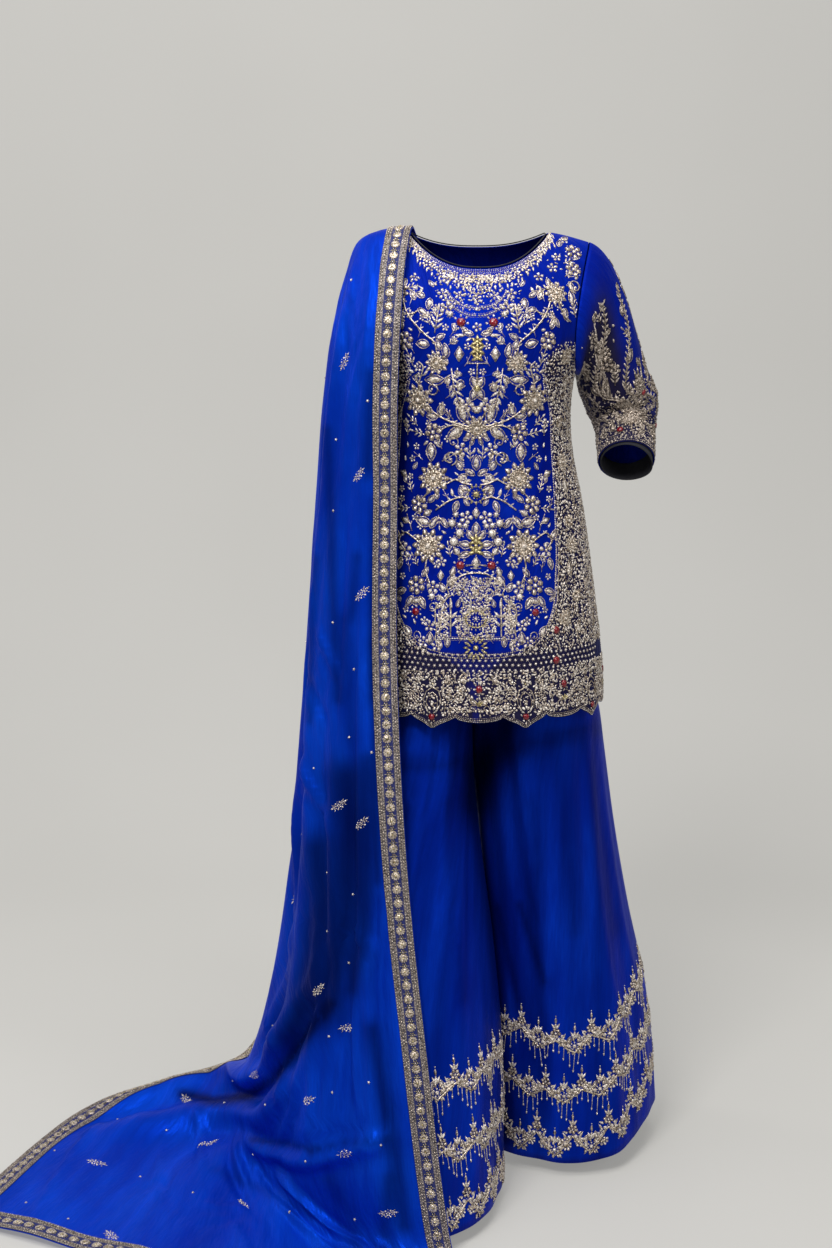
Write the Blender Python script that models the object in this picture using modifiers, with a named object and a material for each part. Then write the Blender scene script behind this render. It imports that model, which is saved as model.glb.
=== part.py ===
"""Sharara suit worn on an unseen wearer: kurti, flared sharara trousers and a dupatta over the right shoulder.

Metres, +Z up, the front of the suit faces -Y and the wearer's left is +X.
The heights in the tables are above the floor; the origin is between the shoulders, SHOULDER_HEIGHT up.
"""

import math

import bmesh
import bpy
import numpy as np

# ---------------------------------------------------------------- driving sizes
SHOULDER_HEIGHT = 1.440  # the origin, where the wearer's shoulders carry the suit
CLOTH = 0.0015  # wall of the kurti and the sharara
VEIL = 0.0012  # wall of the dupatta
TRIM = 0.0010  # wall of a sewn-on border band
SEAM = 0.0006  # room between two sewn pieces
LAY = 0.0004  # room under a band that lies on a panel

# Kurti -------------------------------------------------------------------------
PIT_HEIGHT = 1.256  # underarm point
NECK_HALF = 0.104  # neckline half width at the shoulder seam
TIP_HALF = 0.162  # shoulder seam end
NECK_POINT = 1.4600
TIP_HEIGHT = 1.4460
FRONT_NECK = 1.4075  # lowest point of the scoop
BACK_NECK = 1.4400
SLIT_TOP = 0.930  # the side slits open below this
HEM_HEIGHT = 0.7700  # cusps of the scalloped hem
LOBE = 0.0660  # width of one scallop
ROUND_LOBE = 0.0080
POINT_LOBE = 0.0190

# Rings round the wearer: half width, depth in front of and behind the side line.
BODY = [
    # height  half    front   back
    (0.740, 0.1960, 0.1680, 0.1780),
    (0.822, 0.1925, 0.1560, 0.1700),
    (0.924, 0.1790, 0.1430, 0.1560),
    (1.000, 0.1680, 0.1300, 0.1430),
    (1.077, 0.1550, 0.1200, 0.1240),
    (1.140, 0.1415, 0.1150, 0.1060),
    (1.200, 0.1370, 0.1190, 0.0990),
    (1.256, 0.1430, 0.1270, 0.1000),
    (1.310, 0.1620, 0.1250, 0.1060),
    (1.360, 0.1800, 0.1120, 0.1080),
    (1.410, 0.1900, 0.0900, 0.1020),
    (1.470, 0.1900, 0.0720, 0.0860),
]
BODY_COLUMNS = ("height", "half", "front", "back")

# Armhole seam seen from the front.
ARMHOLE = [
    # height  half
    (1.256, 0.1430),
    (1.275, 0.1390),
    (1.310, 0.1375),
    (1.360, 0.1420),
    (1.410, 0.1520),
    (1.446, 0.1620),
]
ARMHOLE_COLUMNS = ("height", "half")

# Sleeves: the centre of each ring, its half width across the arm and half depth.
LEFT_SLEEVE = [
    # x       y       height   across   deep
    (0.2040, 0.0400, 1.2450, 0.0530, 0.0560),
    (0.2225, 0.0560, 1.2020, 0.0515, 0.0550),
    (0.2240, 0.0330, 1.1660, 0.0430, 0.0470),
    (0.2215, -0.0080, 1.1270, 0.0415, 0.0440),
]
RIGHT_SLEEVE = [
    (-0.1815, 0.0350, 1.2250, 0.0360, 0.0490),
    (-0.1810, 0.0420, 1.1800, 0.0385, 0.0470),
    (-0.1840, 0.0430, 1.1300, 0.0370, 0.0440),
    (-0.1880, 0.0380, 1.0750, 0.0360, 0.0420),
]
SLEEVE_COLUMNS = ("x", "y", "height", "across", "deep")

# Sharara -----------------------------------------------------------------------
WAIST_TOP = 1.082
WAIST_SEAM = 1.046
RISE_TOP = 0.900  # the two legs begin to part
CROTCH = 0.800
LEG_HEM = 0.024
HIPS = [
    # height  half    front   back
    (0.740, 0.1850, 0.1450, 0.1500),
    (0.820, 0.1800, 0.1400, 0.1500),
    (0.900, 0.1690, 0.1300, 0.1440),
    (0.980, 0.1560, 0.1170, 0.1300),
    (1.046, 0.1430, 0.1060, 0.1120),
    (1.090, 0.1380, 0.1020, 0.1040),
]
# Each leg's ring: its centre, half width, half depth and how far its folds stand out.
LEFT_LEG = [
    # height  x       y       half    deep    fold
    (0.024, 0.1530, 0.0750, 0.1470, 0.1600, 0.0085),
    (0.150, 0.1480, 0.0690, 0.1420, 0.1540, 0.0080),
    (0.254, 0.1410, 0.0620, 0.1350, 0.1470, 0.0070),
    (0.400, 0.1250, 0.0500, 0.1200, 0.1380, 0.0055),
    (0.540, 0.1100, 0.0380, 0.1100, 0.1290, 0.0040),
    (0.680, 0.0970, 0.0220, 0.1030, 0.1160, 0.0020),
    (0.740, 0.0945, 0.0140, 0.0970, 0.1080, 0.0010),
    (0.800, 0.0900, 0.0080, 0.0880, 0.1050, 0.0000),
    (0.900, 0.0900, 0.0050, 0.0830, 0.1050, 0.0000),
]
RIGHT_LEG = [
    (0.024, -0.0960, -0.1250, 0.1380, 0.1830, 0.0085),
    (0.150, -0.0960, -0.1120, 0.1370, 0.1730, 0.0080),
    (0.254, -0.0970, -0.1000, 0.1350, 0.1640, 0.0070),
    (0.400, -0.1020, -0.0780, 0.1270, 0.1480, 0.0055),
    (0.540, -0.1040, -0.0500, 0.1110, 0.1340, 0.0040),
    (0.680, -0.0970, -0.0240, 0.0920, 0.1180, 0.0020),
    (0.740, -0.0940, -0.0120, 0.0880, 0.1100, 0.0010),
    (0.800, -0.0920, -0.0020, 0.0850, 0.1050, 0.0000),
    (0.900, -0.0900, 0.0000, 0.0830, 0.1050, 0.0000),
]
LEG_COLUMNS = ("height", "x", "y", "half", "deep", "fold")

# Dupatta -----------------------------------------------------------------------
BAND = 0.036  # width of its border band
# From the shoulder (station 0) down the front to the floor, then along it to the free end.
# "in" is the long edge beside the neck, "out" the side of the arm and below it the other long edge.
# bulge 1 is a quarter round section, 0 a straight one; fold is how far its folds stand out.
FRONT_FALL = [
    # station in_x    in_y     in_z    out_x    out_y    out_z  bulge  fold
    (0.00, -0.0960, 0.0120, 1.4680, -0.1540, 0.0220, 1.4570, 1.00, 0.0000),
    (0.25, -0.0990, -0.0260, 1.4610, -0.1770, 0.0230, 1.4430, 1.00, 0.0010),
    (0.60, -0.1060, -0.0670, 1.4190, -0.1940, 0.0250, 1.4000, 1.00, 0.0020),
    (1.00, -0.1120, -0.1000, 1.3500, -0.2130, 0.0280, 1.3250, 1.00, 0.0030),
    (1.60, -0.1170, -0.1130, 1.2400, -0.2270, 0.0300, 1.2250, 1.00, 0.0050),
    (2.50, -0.1180, -0.1200, 1.0800, -0.2380, 0.0300, 1.0700, 1.00, 0.0070),
    (3.60, -0.1190, -0.1480, 0.8800, -0.2520, 0.0300, 0.8800, 1.00, 0.0100),
    (4.80, -0.1120, -0.1840, 0.6800, -0.2670, 0.0300, 0.6800, 1.00, 0.0140),
    (6.00, -0.0980, -0.2140, 0.4900, -0.2820, 0.0360, 0.4900, 1.00, 0.0170),
    (7.20, -0.0740, -0.2640, 0.2800, -0.3120, 0.0600, 0.2900, 1.00, 0.0210),
    (8.20, -0.0530, -0.3080, 0.1100, -0.3560, 0.1050, 0.1500, 0.95, 0.0230),
    (9.00, -0.0380, -0.3400, 0.0240, -0.4200, 0.1850, 0.0620, 0.80, 0.0230),
    (9.80, -0.0200, -0.4050, 0.0090, -0.5250, 0.2000, 0.0260, 0.50, 0.0200),
    (10.8, -0.0060, -0.4850, 0.0085, -0.6650, 0.0950, 0.0130, 0.20, 0.0120),
    (12.0, 0.0150, -0.5750, 0.0085, -0.7900, -0.2150, 0.0090, 0.00, 0.0070),
]
# From the same shoulder line down the back to the other end, whose outer corner hangs lowest.
BACK_FALL = [
    (0.00, -0.0960, 0.0120, 1.4680, -0.1540, 0.0220, 1.4570, 1.00, 0.0000),
    (0.25, -0.0930, 0.0560, 1.4640, -0.1770, 0.0230, 1.4430, 1.00, 0.0050),
    (0.60, -0.0800, 0.0980, 1.4250, -0.1940, 0.0250, 1.4000, 1.00, 0.0130),
    (1.00, -0.0580, 0.1220, 1.3560, -0.2130, 0.0280, 1.3250, 1.00, 0.0250),
    (1.60, -0.0270, 0.1280, 1.2450, -0.2270, 0.0300, 1.2250, 1.00, 0.0440),
    (2.50, 0.0030, 0.1440, 1.0900, -0.2380, 0.0300, 1.0700, 1.00, 0.0600),
    (3.60, 0.0230, 0.1760, 0.9150, -0.2520, 0.0300, 0.8800, 1.00, 0.0680),
    (4.80, 0.0330, 0.1950, 0.7600, -0.2670, 0.0350, 0.6800, 1.00, 0.0700),
    (5.60, 0.0370, 0.2010, 0.6800, -0.2760, 0.0560, 0.5500, 1.00, 0.0700),
    (6.60, 0.0400, 0.2040, 0.5900, -0.2800, 0.1000, 0.4000, 1.00, 0.0700),
]
FALL_COLUMNS = ("station", "in_x", "in_y", "in_z", "out_x", "out_y", "out_z", "bulge", "fold")
FLOOR_STATION = 9.0  # the front fall ends here and the train begins

# ---------------------------------------------------------------- helpers


def column(table, columns, name):
    return np.array([row[columns.index(name)] for row in table], float)


def smooth(table, columns, name, at):
    """A named column of a table read at any value of its first column, on a smooth curve through its rows."""
    x, y = column(table, columns, columns[0]), column(table, columns, name)
    at = np.clip(np.asarray(at, float), x[0], x[-1])
    slope = np.gradient(y, x)
    i = np.clip(np.searchsorted(x, at, side="right") - 1, 0, len(x) - 2)
    step = x[i + 1] - x[i]
    t = (at - x[i]) / step
    return (
        (2 * t**3 - 3 * t**2 + 1) * y[i]
        + (t**3 - 2 * t**2 + t) * step * slope[i]
        + (3 * t**2 - 2 * t**3) * y[i + 1]
        + (t**3 - t**2) * step * slope[i + 1]
    )


def ease(low, high, at):
    t = np.clip((np.asarray(at, float) - low) / (high - low), 0, 1)
    return t * t * (3 - 2 * t)


def unit(v):
    return v / np.maximum(np.linalg.norm(v, axis=-1, keepdims=True), 1e-12)


def normals(points):
    """Outward directions at a sheet's points, from its rows and columns."""
    along, across = np.gradient(points, axis=0), np.gradient(points, axis=1)
    return unit(np.cross(across, along))


# ---------------------------------------------------------------- kurti


def shoulder_line(x):
    """Height of the shoulder seam."""
    t = np.clip((np.abs(x) - NECK_HALF) / (TIP_HALF - NECK_HALF), 0, 1.4)
    return NECK_POINT - (NECK_POINT - TIP_HEIGHT) * t**1.3


def panel_top(x, low_neck):
    """Top edge of a body panel: the neckline, then the shoulder seam."""
    t = np.clip(np.abs(x) / NECK_HALF, 0, 1)
    return np.where(t < 1, low_neck + (NECK_POINT - low_neck) * t**2.5, shoulder_line(x))


def edge_angle(z):
    """How far round the body a panel reaches: to the side seam, and above the underarm to the armhole."""
    half = smooth(BODY, BODY_COLUMNS, "half", z)
    arm = smooth(ARMHOLE, ARMHOLE_COLUMNS, "half", z)
    return np.where(z <= PIT_HEIGHT, np.pi / 2, np.arcsin(np.clip(arm / half, -1, 1)))


def body_point(angle, z, side):
    """Point on the kurti. The angle is 0 at the centre line and positive to the wearer's left; side is -1 in front."""
    x = smooth(BODY, BODY_COLUMNS, "half", z) * np.sin(angle)
    deep = np.where(side < 0, smooth(BODY, BODY_COLUMNS, "front", z), smooth(BODY, BODY_COLUMNS, "back", z))
    rolled = np.clip((shoulder_line(x) - z) / 0.085, 0, 1)
    y = side * deep * np.cos(angle) * np.sqrt(np.clip(1 - (1 - rolled) ** 2, 0, 1)) + 0.012 * ease(1.30, 1.46, z)
    return np.stack([x, y, z], -1)


def scallop(arc):
    """How far the hem hangs below its cusps: round lobes at the centre line and every second one, pointed ones between."""
    k = np.round(arc / LOBE)
    t = np.clip(np.abs(arc / LOBE - k) * 2, 0, 1)
    return np.where(k % 2 == 0, ROUND_LOBE * np.sqrt(1 - t**2), POINT_LOBE * (0.45 * (1 - t) + 0.55 * (1 - t**2)) * (1 - 0.25 * np.sin(np.pi * t)))


PIT_ROW = 0.60  # share of a body panel's rows that lie below the underarm


def kurti(u, v, side):
    """Body panel, u from -1 at the wearer's right to 1 at the left, v from 0 at the hem to 1 at the top."""
    u, v = np.broadcast_arrays(np.asarray(u, float), np.asarray(v, float))
    low_neck = FRONT_NECK if side < 0 else BACK_NECK
    top = np.full(u.shape, NECK_POINT)
    for _ in range(12):
        top = panel_top(smooth(BODY, BODY_COLUMNS, "half", top) * np.sin(u * edge_angle(np.maximum(top, PIT_HEIGHT + 0.12))), low_neck)
    low = np.clip(1 - v / PIT_ROW, 0, 1)
    w = np.clip((1 - v) / (1 - PIT_ROW), 0, 1)
    z = np.where(
        v <= PIT_ROW,
        PIT_HEIGHT - (PIT_HEIGHT - HEM_HEIGHT) * low,
        top - (top - PIT_HEIGHT) * 1.6 * w * w / (w + 0.6),
    )
    z = z - scallop(u * 0.2870) * ease(0.80, 1.0, low) * 1.0
    reach = edge_angle(z) - (SEAM / 2 + 0.004 * ease(SLIT_TOP + 0.02, SLIT_TOP - 0.06, z)) / smooth(BODY, BODY_COLUMNS, "half", z)
    return body_point(u * reach, z, side)


# ---------------------------------------------------------------- sleeves


def armhole(turn, hand):
    """Armhole seam: turn 0 at the shoulder tip, 0.5 at the underarm by way of the front, 1 at the tip again."""
    w = np.where(turn <= 0.5, 2 * turn, 2 * (1 - turn))
    side = np.where(turn <= 0.5, -1.0, 1.0)
    z = TIP_HEIGHT - (TIP_HEIGHT - PIT_HEIGHT) * 1.6 * w * w / (w + 0.6)
    p = body_point(edge_angle(z + 1e-9), z, side)
    return p * np.array([hand, 1, 1])


def sleeve(turn, s, hand, table, out=0.0, past=0.0):
    """Sleeve, s from 0 at the armhole to 1 at the cuff; out moves it out and past carries it beyond the cuff."""
    turn, s = np.broadcast_arrays(np.asarray(turn, float), np.asarray(s, float))
    centre = np.stack([column(table, SLEEVE_COLUMNS, n) for n in ("x", "y", "height")], -1)
    across, deep = column(table, SLEEVE_COLUMNS, "across"), column(table, SLEEVE_COLUMNS, "deep")
    count = len(table)
    along = unit(np.gradient(centre, axis=0))
    outward = np.array([hand, 0.0, 0.0]) - along * (along @ np.array([hand, 0.0, 0.0]))[:, None]
    outward = unit(outward)
    front = unit(np.cross(along, outward)) * hand
    front = np.where((front @ np.array([0, -1, 0.3]))[:, None] < 0, -front, front)
    angle = 2 * np.pi * turn
    rings = [
        centre[k]
        + (across[k] + out) * np.cos(angle)[..., None] * outward[k]
        + (deep[k] + out) * np.sin(angle)[..., None] * front[k]
        for k in range(count)
    ]
    seam = armhole(turn, hand)
    first = rings[0]
    # sleeve head: from the seam out over the shoulder and down to the first ring
    cap = np.array([0.9, 0.10, -0.30]) if hand > 0 else np.array([-0.36, 0.05, -0.75])
    reach = np.linalg.norm(first - seam, axis=-1, keepdims=True)
    start, end = cap * reach * 0.75, along[0] * reach * 0.95
    head = 0.42
    t = np.clip(s / head, 0, 1)[..., None]
    capped = (
        (2 * t**3 - 3 * t**2 + 1) * (seam + out * np.array([hand, 0, 0]))
        + (t**3 - 2 * t**2 + t) * start
        + (3 * t**2 - 2 * t**3) * first
        + (t**3 - t**2) * end
    )
    # arm: a smooth curve through the rings
    q = np.clip((s - head) / (1 - head), 0, 1) * (count - 1)
    i = np.clip(q.astype(int), 0, count - 2)
    f = (q - i)[..., None]
    stack = np.stack(rings)
    pick = lambda k: np.take_along_axis(stack, np.clip(k, 0, count - 1)[None, ..., None], 0)[0]
    a, b = pick(i), pick(i + 1)
    ta = np.where((i > 0)[..., None], (b - pick(i - 1)) / 2, end / reach * np.linalg.norm(b - a, axis=-1, keepdims=True))
    tb = np.where((i < count - 2)[..., None], (pick(i + 2) - a) / 2, b - a)
    armed = (2 * f**3 - 3 * f**2 + 1) * a + (f**3 - 2 * f**2 + f) * ta + (3 * f**2 - 2 * f**3) * b + (f**3 - f**2) * tb
    p = np.where((s <= head)[..., None], capped, armed)
    return p + along[-1] * past * ease(0.9, 1.0, s)[..., None]


# ---------------------------------------------------------------- sharara


def leg_folds(turn, z, hand):
    """Long soft folds of a flared leg, uneven round the leg and fuller towards the hem."""
    a = 2 * np.pi * turn
    drift = 0.35 * np.sin(2.1 * z + 0.8 * hand)
    return 0.55 * np.sin(5 * a + 0.9 * hand + drift) + 0.30 * np.sin(8 * a + 2.2 + 0.6 * hand - 2 * drift) + 0.15 * np.sin(11 * a + 0.7 * hand)


def leg(u, v, hand, side, table):
    """Leg panel, u from 0 at the side seam to 1 at the centre seam and inseam, v from 0 at the hem to 1 at the waist."""
    u, v = np.broadcast_arrays(np.asarray(u, float), np.asarray(v, float))
    z = LEG_HEM + (WAIST_SEAM - SEAM - LEG_HEM) * v
    parted = 1 - ease(CROTCH, RISE_TOP, z)
    gap = SEAM / 2
    angle = np.pi * (gap / 0.45 + u * (1 - 2 * gap / 0.45))
    fold = smooth(table, LEG_COLUMNS, "fold", z) * leg_folds((1 - side) / 2 + side * angle / (2 * np.pi), z, hand)
    fold = fold * (1 - 0.7 * ease(0.62, 1.0, u)) * np.minimum(1, 1.15 - 0.3 * ease(0, 0.06, 1 - u))
    x = smooth(table, LEG_COLUMNS, "x", z) + hand * (smooth(table, LEG_COLUMNS, "half", z) + fold) * np.cos(angle)
    y = smooth(table, LEG_COLUMNS, "y", z) + side * (smooth(table, LEG_COLUMNS, "deep", z) + fold) * np.sin(angle)
    half = np.pi / 2 * (gap / 0.25 + u * (1 - gap / 0.25))
    hx = hand * (smooth(HIPS, BODY_COLUMNS, "half", z) * np.cos(half) + gap)
    deep = smooth(HIPS, BODY_COLUMNS, "front" if side < 0 else "back", z)
    hy = side * deep * np.sin(half)
    return np.stack([hx + (x - hx) * parted, hy + (y - hy) * parted, z], -1)


# ---------------------------------------------------------------- dupatta


def fall_folds(u, station, back):
    """Lengthwise folds of the hanging dupatta, 0 to 1 outwards: few and soft in front, many and deep behind."""
    d = 0.10 * np.sin(0.55 * station + back)
    if back:
        wave = 0.78 * np.sin(2 * np.pi * (6.1 * u + 0.30 + 0.7 * d)) + 0.22 * np.sin(2 * np.pi * (2.3 * u + 0.45 - d))
    else:
        late = u**1.15
        wave = 0.70 * np.sin(2 * np.pi * (4.2 * late - 0.22 + d)) + 0.30 * np.sin(2 * np.pi * (1.7 * late + 0.40 - 1.6 * d))
    return (0.5 + 0.5 * wave) * (1 - ease(0.90 - 0.14 * back, 1.0, u)) * (0.25 + 0.75 * ease(0.0, 0.30 - 0.15 * back, u))


def fall(u, station, table, back):
    """Dupatta, u from 0 at its inner long edge to 1 at the arm's side and, lower down, its outer long edge."""
    u, station = np.broadcast_arrays(np.asarray(u, float), np.asarray(station, float))
    read = lambda name: smooth(table, FALL_COLUMNS, name, station)
    angle = np.pi / 2 * u
    bulge = read("bulge")
    gx = (1 - bulge) * u + bulge * np.sin(angle) ** 0.92
    gy = (1 - bulge) * (1 - u) + bulge * np.cos(angle) ** 0.92
    x = read("in_x") + (read("out_x") - read("in_x")) * gx
    y = read("out_y") + (read("in_y") - read("out_y")) * gy
    z = read("in_z") + (read("out_z") - read("in_z")) * u**1.8
    fold = read("fold") * fall_folds(u, station, back)
    standing = np.ones(u.shape) if back else 1 - ease(FLOOR_STATION - 1.2, FLOOR_STATION + 0.4, station)
    facing = 1.0 if back else -1.0
    x = x - fold * standing * np.sin(angle) * (0.35 if back else 1.0)
    y = y + fold * standing * np.cos(angle) * facing + facing * 0.0015
    z = z + fold * (1 - standing)
    return np.stack([x, y, z], -1)


def along_row(points, places):
    """A row of points read again at distances along it."""
    run = np.concatenate([[0.0], np.cumsum(np.linalg.norm(np.diff(points, axis=0), axis=1))])
    return np.stack([np.interp(places(run[-1]), run, points[:, k]) for k in range(3)], -1)


def fall_grid(stations, table, back, between):
    """Rows of the dupatta with columns on both long edges at half a band and a whole band, and evenly between."""
    fine = np.linspace(0, 1, 401)
    places = lambda length: np.concatenate(
        [[0, BAND / 2], np.linspace(BAND, length - BAND, between + 1), [length - BAND / 2, length]]
    )
    return np.stack([along_row(fall(fine, station, table, back), places) for station in stations])


def end_rows(points, rows, closer):
    """The same sheet with rows a band and half a band from its last row; closer above 1 crowds the first rows."""
    places = lambda length: np.concatenate([np.linspace(0, 1, rows + 1) ** closer * (length - BAND), [length - BAND / 2, length]])
    return np.stack([along_row(points[:, c], places) for c in range(points.shape[1])], axis=1)


# ---------------------------------------------------------------- objects


def finish_of(name, colour, roughness, metallic=0.0):
    material = bpy.data.materials.new(name)
    material.use_nodes = True
    shader = material.node_tree.nodes["Principled BSDF"]
    shader.inputs["Base Color"].default_value = (*colour, 1)
    shader.inputs["Roughness"].default_value = roughness
    shader.inputs["Metallic"].default_value = metallic
    return material


def sheet(name, points, wall, material, closed=False):
    """A cloth wall: a grid laid on rows of points, thickened to both sides."""
    points = np.array(points, float)
    points[..., 2] -= SHOULDER_HEIGHT
    rows, cols = points.shape[0] - 1, points.shape[1] - 1
    made = bmesh.new()
    bmesh.ops.create_grid(made, x_segments=cols, y_segments=rows, size=0.5)
    for vertex in made.verts:
        i = int(round((vertex.co.y + 0.5) * rows))
        j = int(round((vertex.co.x + 0.5) * cols))
        vertex.co = points[i, j]
    if closed:
        bmesh.ops.remove_doubles(made, verts=made.verts, dist=1e-6)
    mesh = bpy.data.meshes.new(name)
    made.to_mesh(mesh)
    made.free()
    mesh.shade_smooth()
    piece = bpy.data.objects.new(name, mesh)
    SUIT.objects.link(piece)
    mesh.materials.append(material)
    thick = piece.modifiers.new("wall", "SOLIDIFY")
    thick.thickness, thick.offset, thick.use_even_offset = wall, 0.0, False
    return piece


def grid(u, v):
    return np.meshgrid(np.asarray(u, float), np.asarray(v, float))


def cord(name, points, radius, material):
    """A thin closed binding along a line of points."""
    line = bpy.data.curves.new(name, "CURVE")
    line.dimensions, line.bevel_depth, line.bevel_resolution = "3D", radius, 1
    spline = line.splines.new("POLY")
    spline.points.add(len(points) - 1)
    for spot, p in zip(spline.points, points):
        spot.co = (p[0], p[1], p[2] - SHOULDER_HEIGHT, 1)
    spline.use_cyclic_u = True
    piece = bpy.data.objects.new(name, line)
    line.materials.append(material)
    SUIT.objects.link(piece)
    return piece


for old in list(bpy.data.objects):
    bpy.data.objects.remove(old)
SUIT = bpy.data.collections.new("sharara_suit")
bpy.context.scene.collection.children.link(SUIT)

SILK = finish_of("royal_blue_silk", (0.010, 0.045, 0.42), 0.38)
WORKED = finish_of("embroidered_silk", (0.30, 0.29, 0.42), 0.45, 0.3)
METAL_THREAD = finish_of("silver_thread_band", (0.62, 0.55, 0.47), 0.42, 0.7)
LINING = finish_of("black_lining", (0.012, 0.012, 0.016), 0.8)
CREPE = finish_of("royal_blue_dupatta", (0.010, 0.050, 0.45), 0.42)

# Kurti front and back; the front has four columns to a scallop, the back two
BELOW, ABOVE = 5, 7  # rows below and above the underarm
HEM_HALF = 0.2870  # hem length from the centre to the side
rows_v = np.concatenate([np.linspace(0, PIT_ROW, BELOW + 1), PIT_ROW + (1 - PIT_ROW) * np.arange(1, ABOVE + 1) / ABOVE])
rows_v[1] = 0.045
rows_v[-1] -= 0.0012  # keeps the front and back apart along the shoulder seams
NECK_U = math.asin(NECK_HALF / 0.1893) / float(edge_angle(np.array(NECK_POINT - 0.0005)))  # the neck corner's column
panel_columns = {}
for name, side, share, material in (("kurti_front", -1, 4, WORKED), ("kurti_back", 1, 2, SILK)):
    count = int(HEM_HALF / LOBE * share)
    columns = np.concatenate([[-1, -NECK_U], np.arange(-count, count + 1) * LOBE / share / HEM_HALF, [NECK_U, 1]])
    panel_columns[side] = np.sort(columns)
    sheet(name, kurti(*grid(panel_columns[side], rows_v), side), CLOTH, material)

# Sleeves: round the armhole on the same rows as the panels
turns = np.concatenate([np.arange(0, ABOVE + 1) / ABOVE / 2, 0.5 + np.arange(1, ABOVE + 1) / ABOVE / 2])
SLEEVE_ROWS = (0, 0.08, 0.18, 0.30, 0.42, 0.54, 0.63, 0.74, 0.86, 1.0)
for name, hand, table in (("sleeve_left", 1.0, LEFT_SLEEVE), ("sleeve_right", -1.0, RIGHT_SLEEVE)):
    points = sleeve(*grid(turns, SLEEVE_ROWS), hand, table) + np.array([hand * 0.0018, 0, 0])
    sheet(name, points, CLOTH, WORKED, closed=True)
cuff = sleeve(*grid(turns, (0.90, 1.0)), 1.0, LEFT_SLEEVE, out=-0.0032, past=0.012) + np.array([0.0018, 0, 0])
sheet("cuff_lining_left", cuff, 0.0012, LINING, closed=True)

# Neck binding, a cord just above the neck edges of both panels
loop = []
for side, order in ((-1, 1), (1, -1)):
    at = panel_columns[side][np.abs(panel_columns[side]) <= NECK_U + 1e-9]
    edge = kurti(at, rows_v[-1], side)
    rise = edge + unit(np.array([0, 0, NECK_POINT + 0.04]) - edge) * 0.0036
    if side > 0:
        rise = rise[1:-1]
    loop += list(rise[::order])
cord("neck_binding", loop, 0.0017, LINING)

# Sharara legs, front and back of each
leg_v = np.concatenate([np.linspace(0, 0.70, 8), [0.76, 0.82, 0.90, 1.0]])
leg_u = np.concatenate([np.linspace(0, 0.9, 10), [1.0]])
for name, hand, table in (("left", 1.0, LEFT_LEG), ("right", -1.0, RIGHT_LEG)):
    for part, side in (("front", -1.0), ("back", 1.0)):
        sheet(f"sharara_{name}_{part}", leg(*grid(leg_u, leg_v), hand, side, table), CLOTH, SILK)

# Waistband: a closed ring
turn, height = grid(np.linspace(0, 1, 25), [WAIST_SEAM + SEAM, WAIST_TOP])
around = 2 * np.pi * turn
deep = np.where(np.sin(around) < 0, smooth(HIPS, BODY_COLUMNS, "front", height), smooth(HIPS, BODY_COLUMNS, "back", height))
ring = np.stack([smooth(HIPS, BODY_COLUMNS, "half", height) * np.cos(around), deep * np.sin(around), height], -1)
sheet("sharara_waistband", ring, 0.0025, SILK, closed=True)

# Dupatta: the front fall and the train on one run of points, the back fall on another
fall_rows = np.concatenate([[0.005, 0.12, 0.25, 0.42], np.linspace(0.65, FLOOR_STATION, 12)])
front = fall_grid(fall_rows, FRONT_FALL, 0, 11)
train = end_rows(fall_grid(np.linspace(FLOOR_STATION + 0.012, 12.0, 40), FRONT_FALL, 0, 11), 5, 1.0)
back = end_rows(fall_grid(np.concatenate([[0.005, 0.12, 0.25, 0.42], np.linspace(0.65, 6.6, 40)]), BACK_FALL, 1, 23), 11, 1.7)
sheet("dupatta_front_fall", front, VEIL, CREPE)
sheet("dupatta_train", train, VEIL, CREPE)
sheet("dupatta_back_fall", back, VEIL, CREPE)

# Border bands, laid on the dupatta's right side
lift = VEIL / 2 + LAY + TRIM / 2
back_top = back - normals(back) * (lift + 0.0005)
front_top, train_top = front + normals(front) * lift, train + normals(train) * lift
sheet("band_inner_edge", np.concatenate([front_top[:, :3], train_top[:, :3]]), TRIM, METAL_THREAD)
sheet("band_outer_edge", np.concatenate([front_top[10:, -3:], train_top[:, -3:]]), TRIM, METAL_THREAD)
end = train_top[-3:, 2:-2].copy()
end[:, 0] += (end[:, 1] - end[:, 0]) * 0.02
end[:, -1] += (end[:, -2] - end[:, -1]) * 0.02
sheet("band_train_end", end, TRIM, METAL_THREAD)
sheet("band_back_edge", back_top[:, :3], TRIM, METAL_THREAD)
end = back_top[-3:, 2:].copy()
end[:, 0] += (end[:, 1] - end[:, 0]) * 0.06
sheet("band_back_end", end, TRIM, METAL_THREAD)
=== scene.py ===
import math

import bpy
import numpy as np
from mathutils import Euler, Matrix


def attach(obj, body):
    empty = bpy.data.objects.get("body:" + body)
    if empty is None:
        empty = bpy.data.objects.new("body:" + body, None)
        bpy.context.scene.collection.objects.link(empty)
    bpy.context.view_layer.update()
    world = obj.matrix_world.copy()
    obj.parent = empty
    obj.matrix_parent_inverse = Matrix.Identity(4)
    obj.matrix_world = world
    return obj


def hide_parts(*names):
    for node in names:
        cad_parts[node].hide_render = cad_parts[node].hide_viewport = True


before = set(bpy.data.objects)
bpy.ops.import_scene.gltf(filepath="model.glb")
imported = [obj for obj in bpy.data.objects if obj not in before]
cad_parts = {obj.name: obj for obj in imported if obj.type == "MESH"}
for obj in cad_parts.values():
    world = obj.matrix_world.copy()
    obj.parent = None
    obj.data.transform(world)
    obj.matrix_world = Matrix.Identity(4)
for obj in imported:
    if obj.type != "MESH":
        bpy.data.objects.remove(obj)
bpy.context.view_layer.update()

CHANCE = np.random.default_rng(7)
HEM_HALF = 0.2870  # hem length of a kurti panel from the centre to the side

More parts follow.
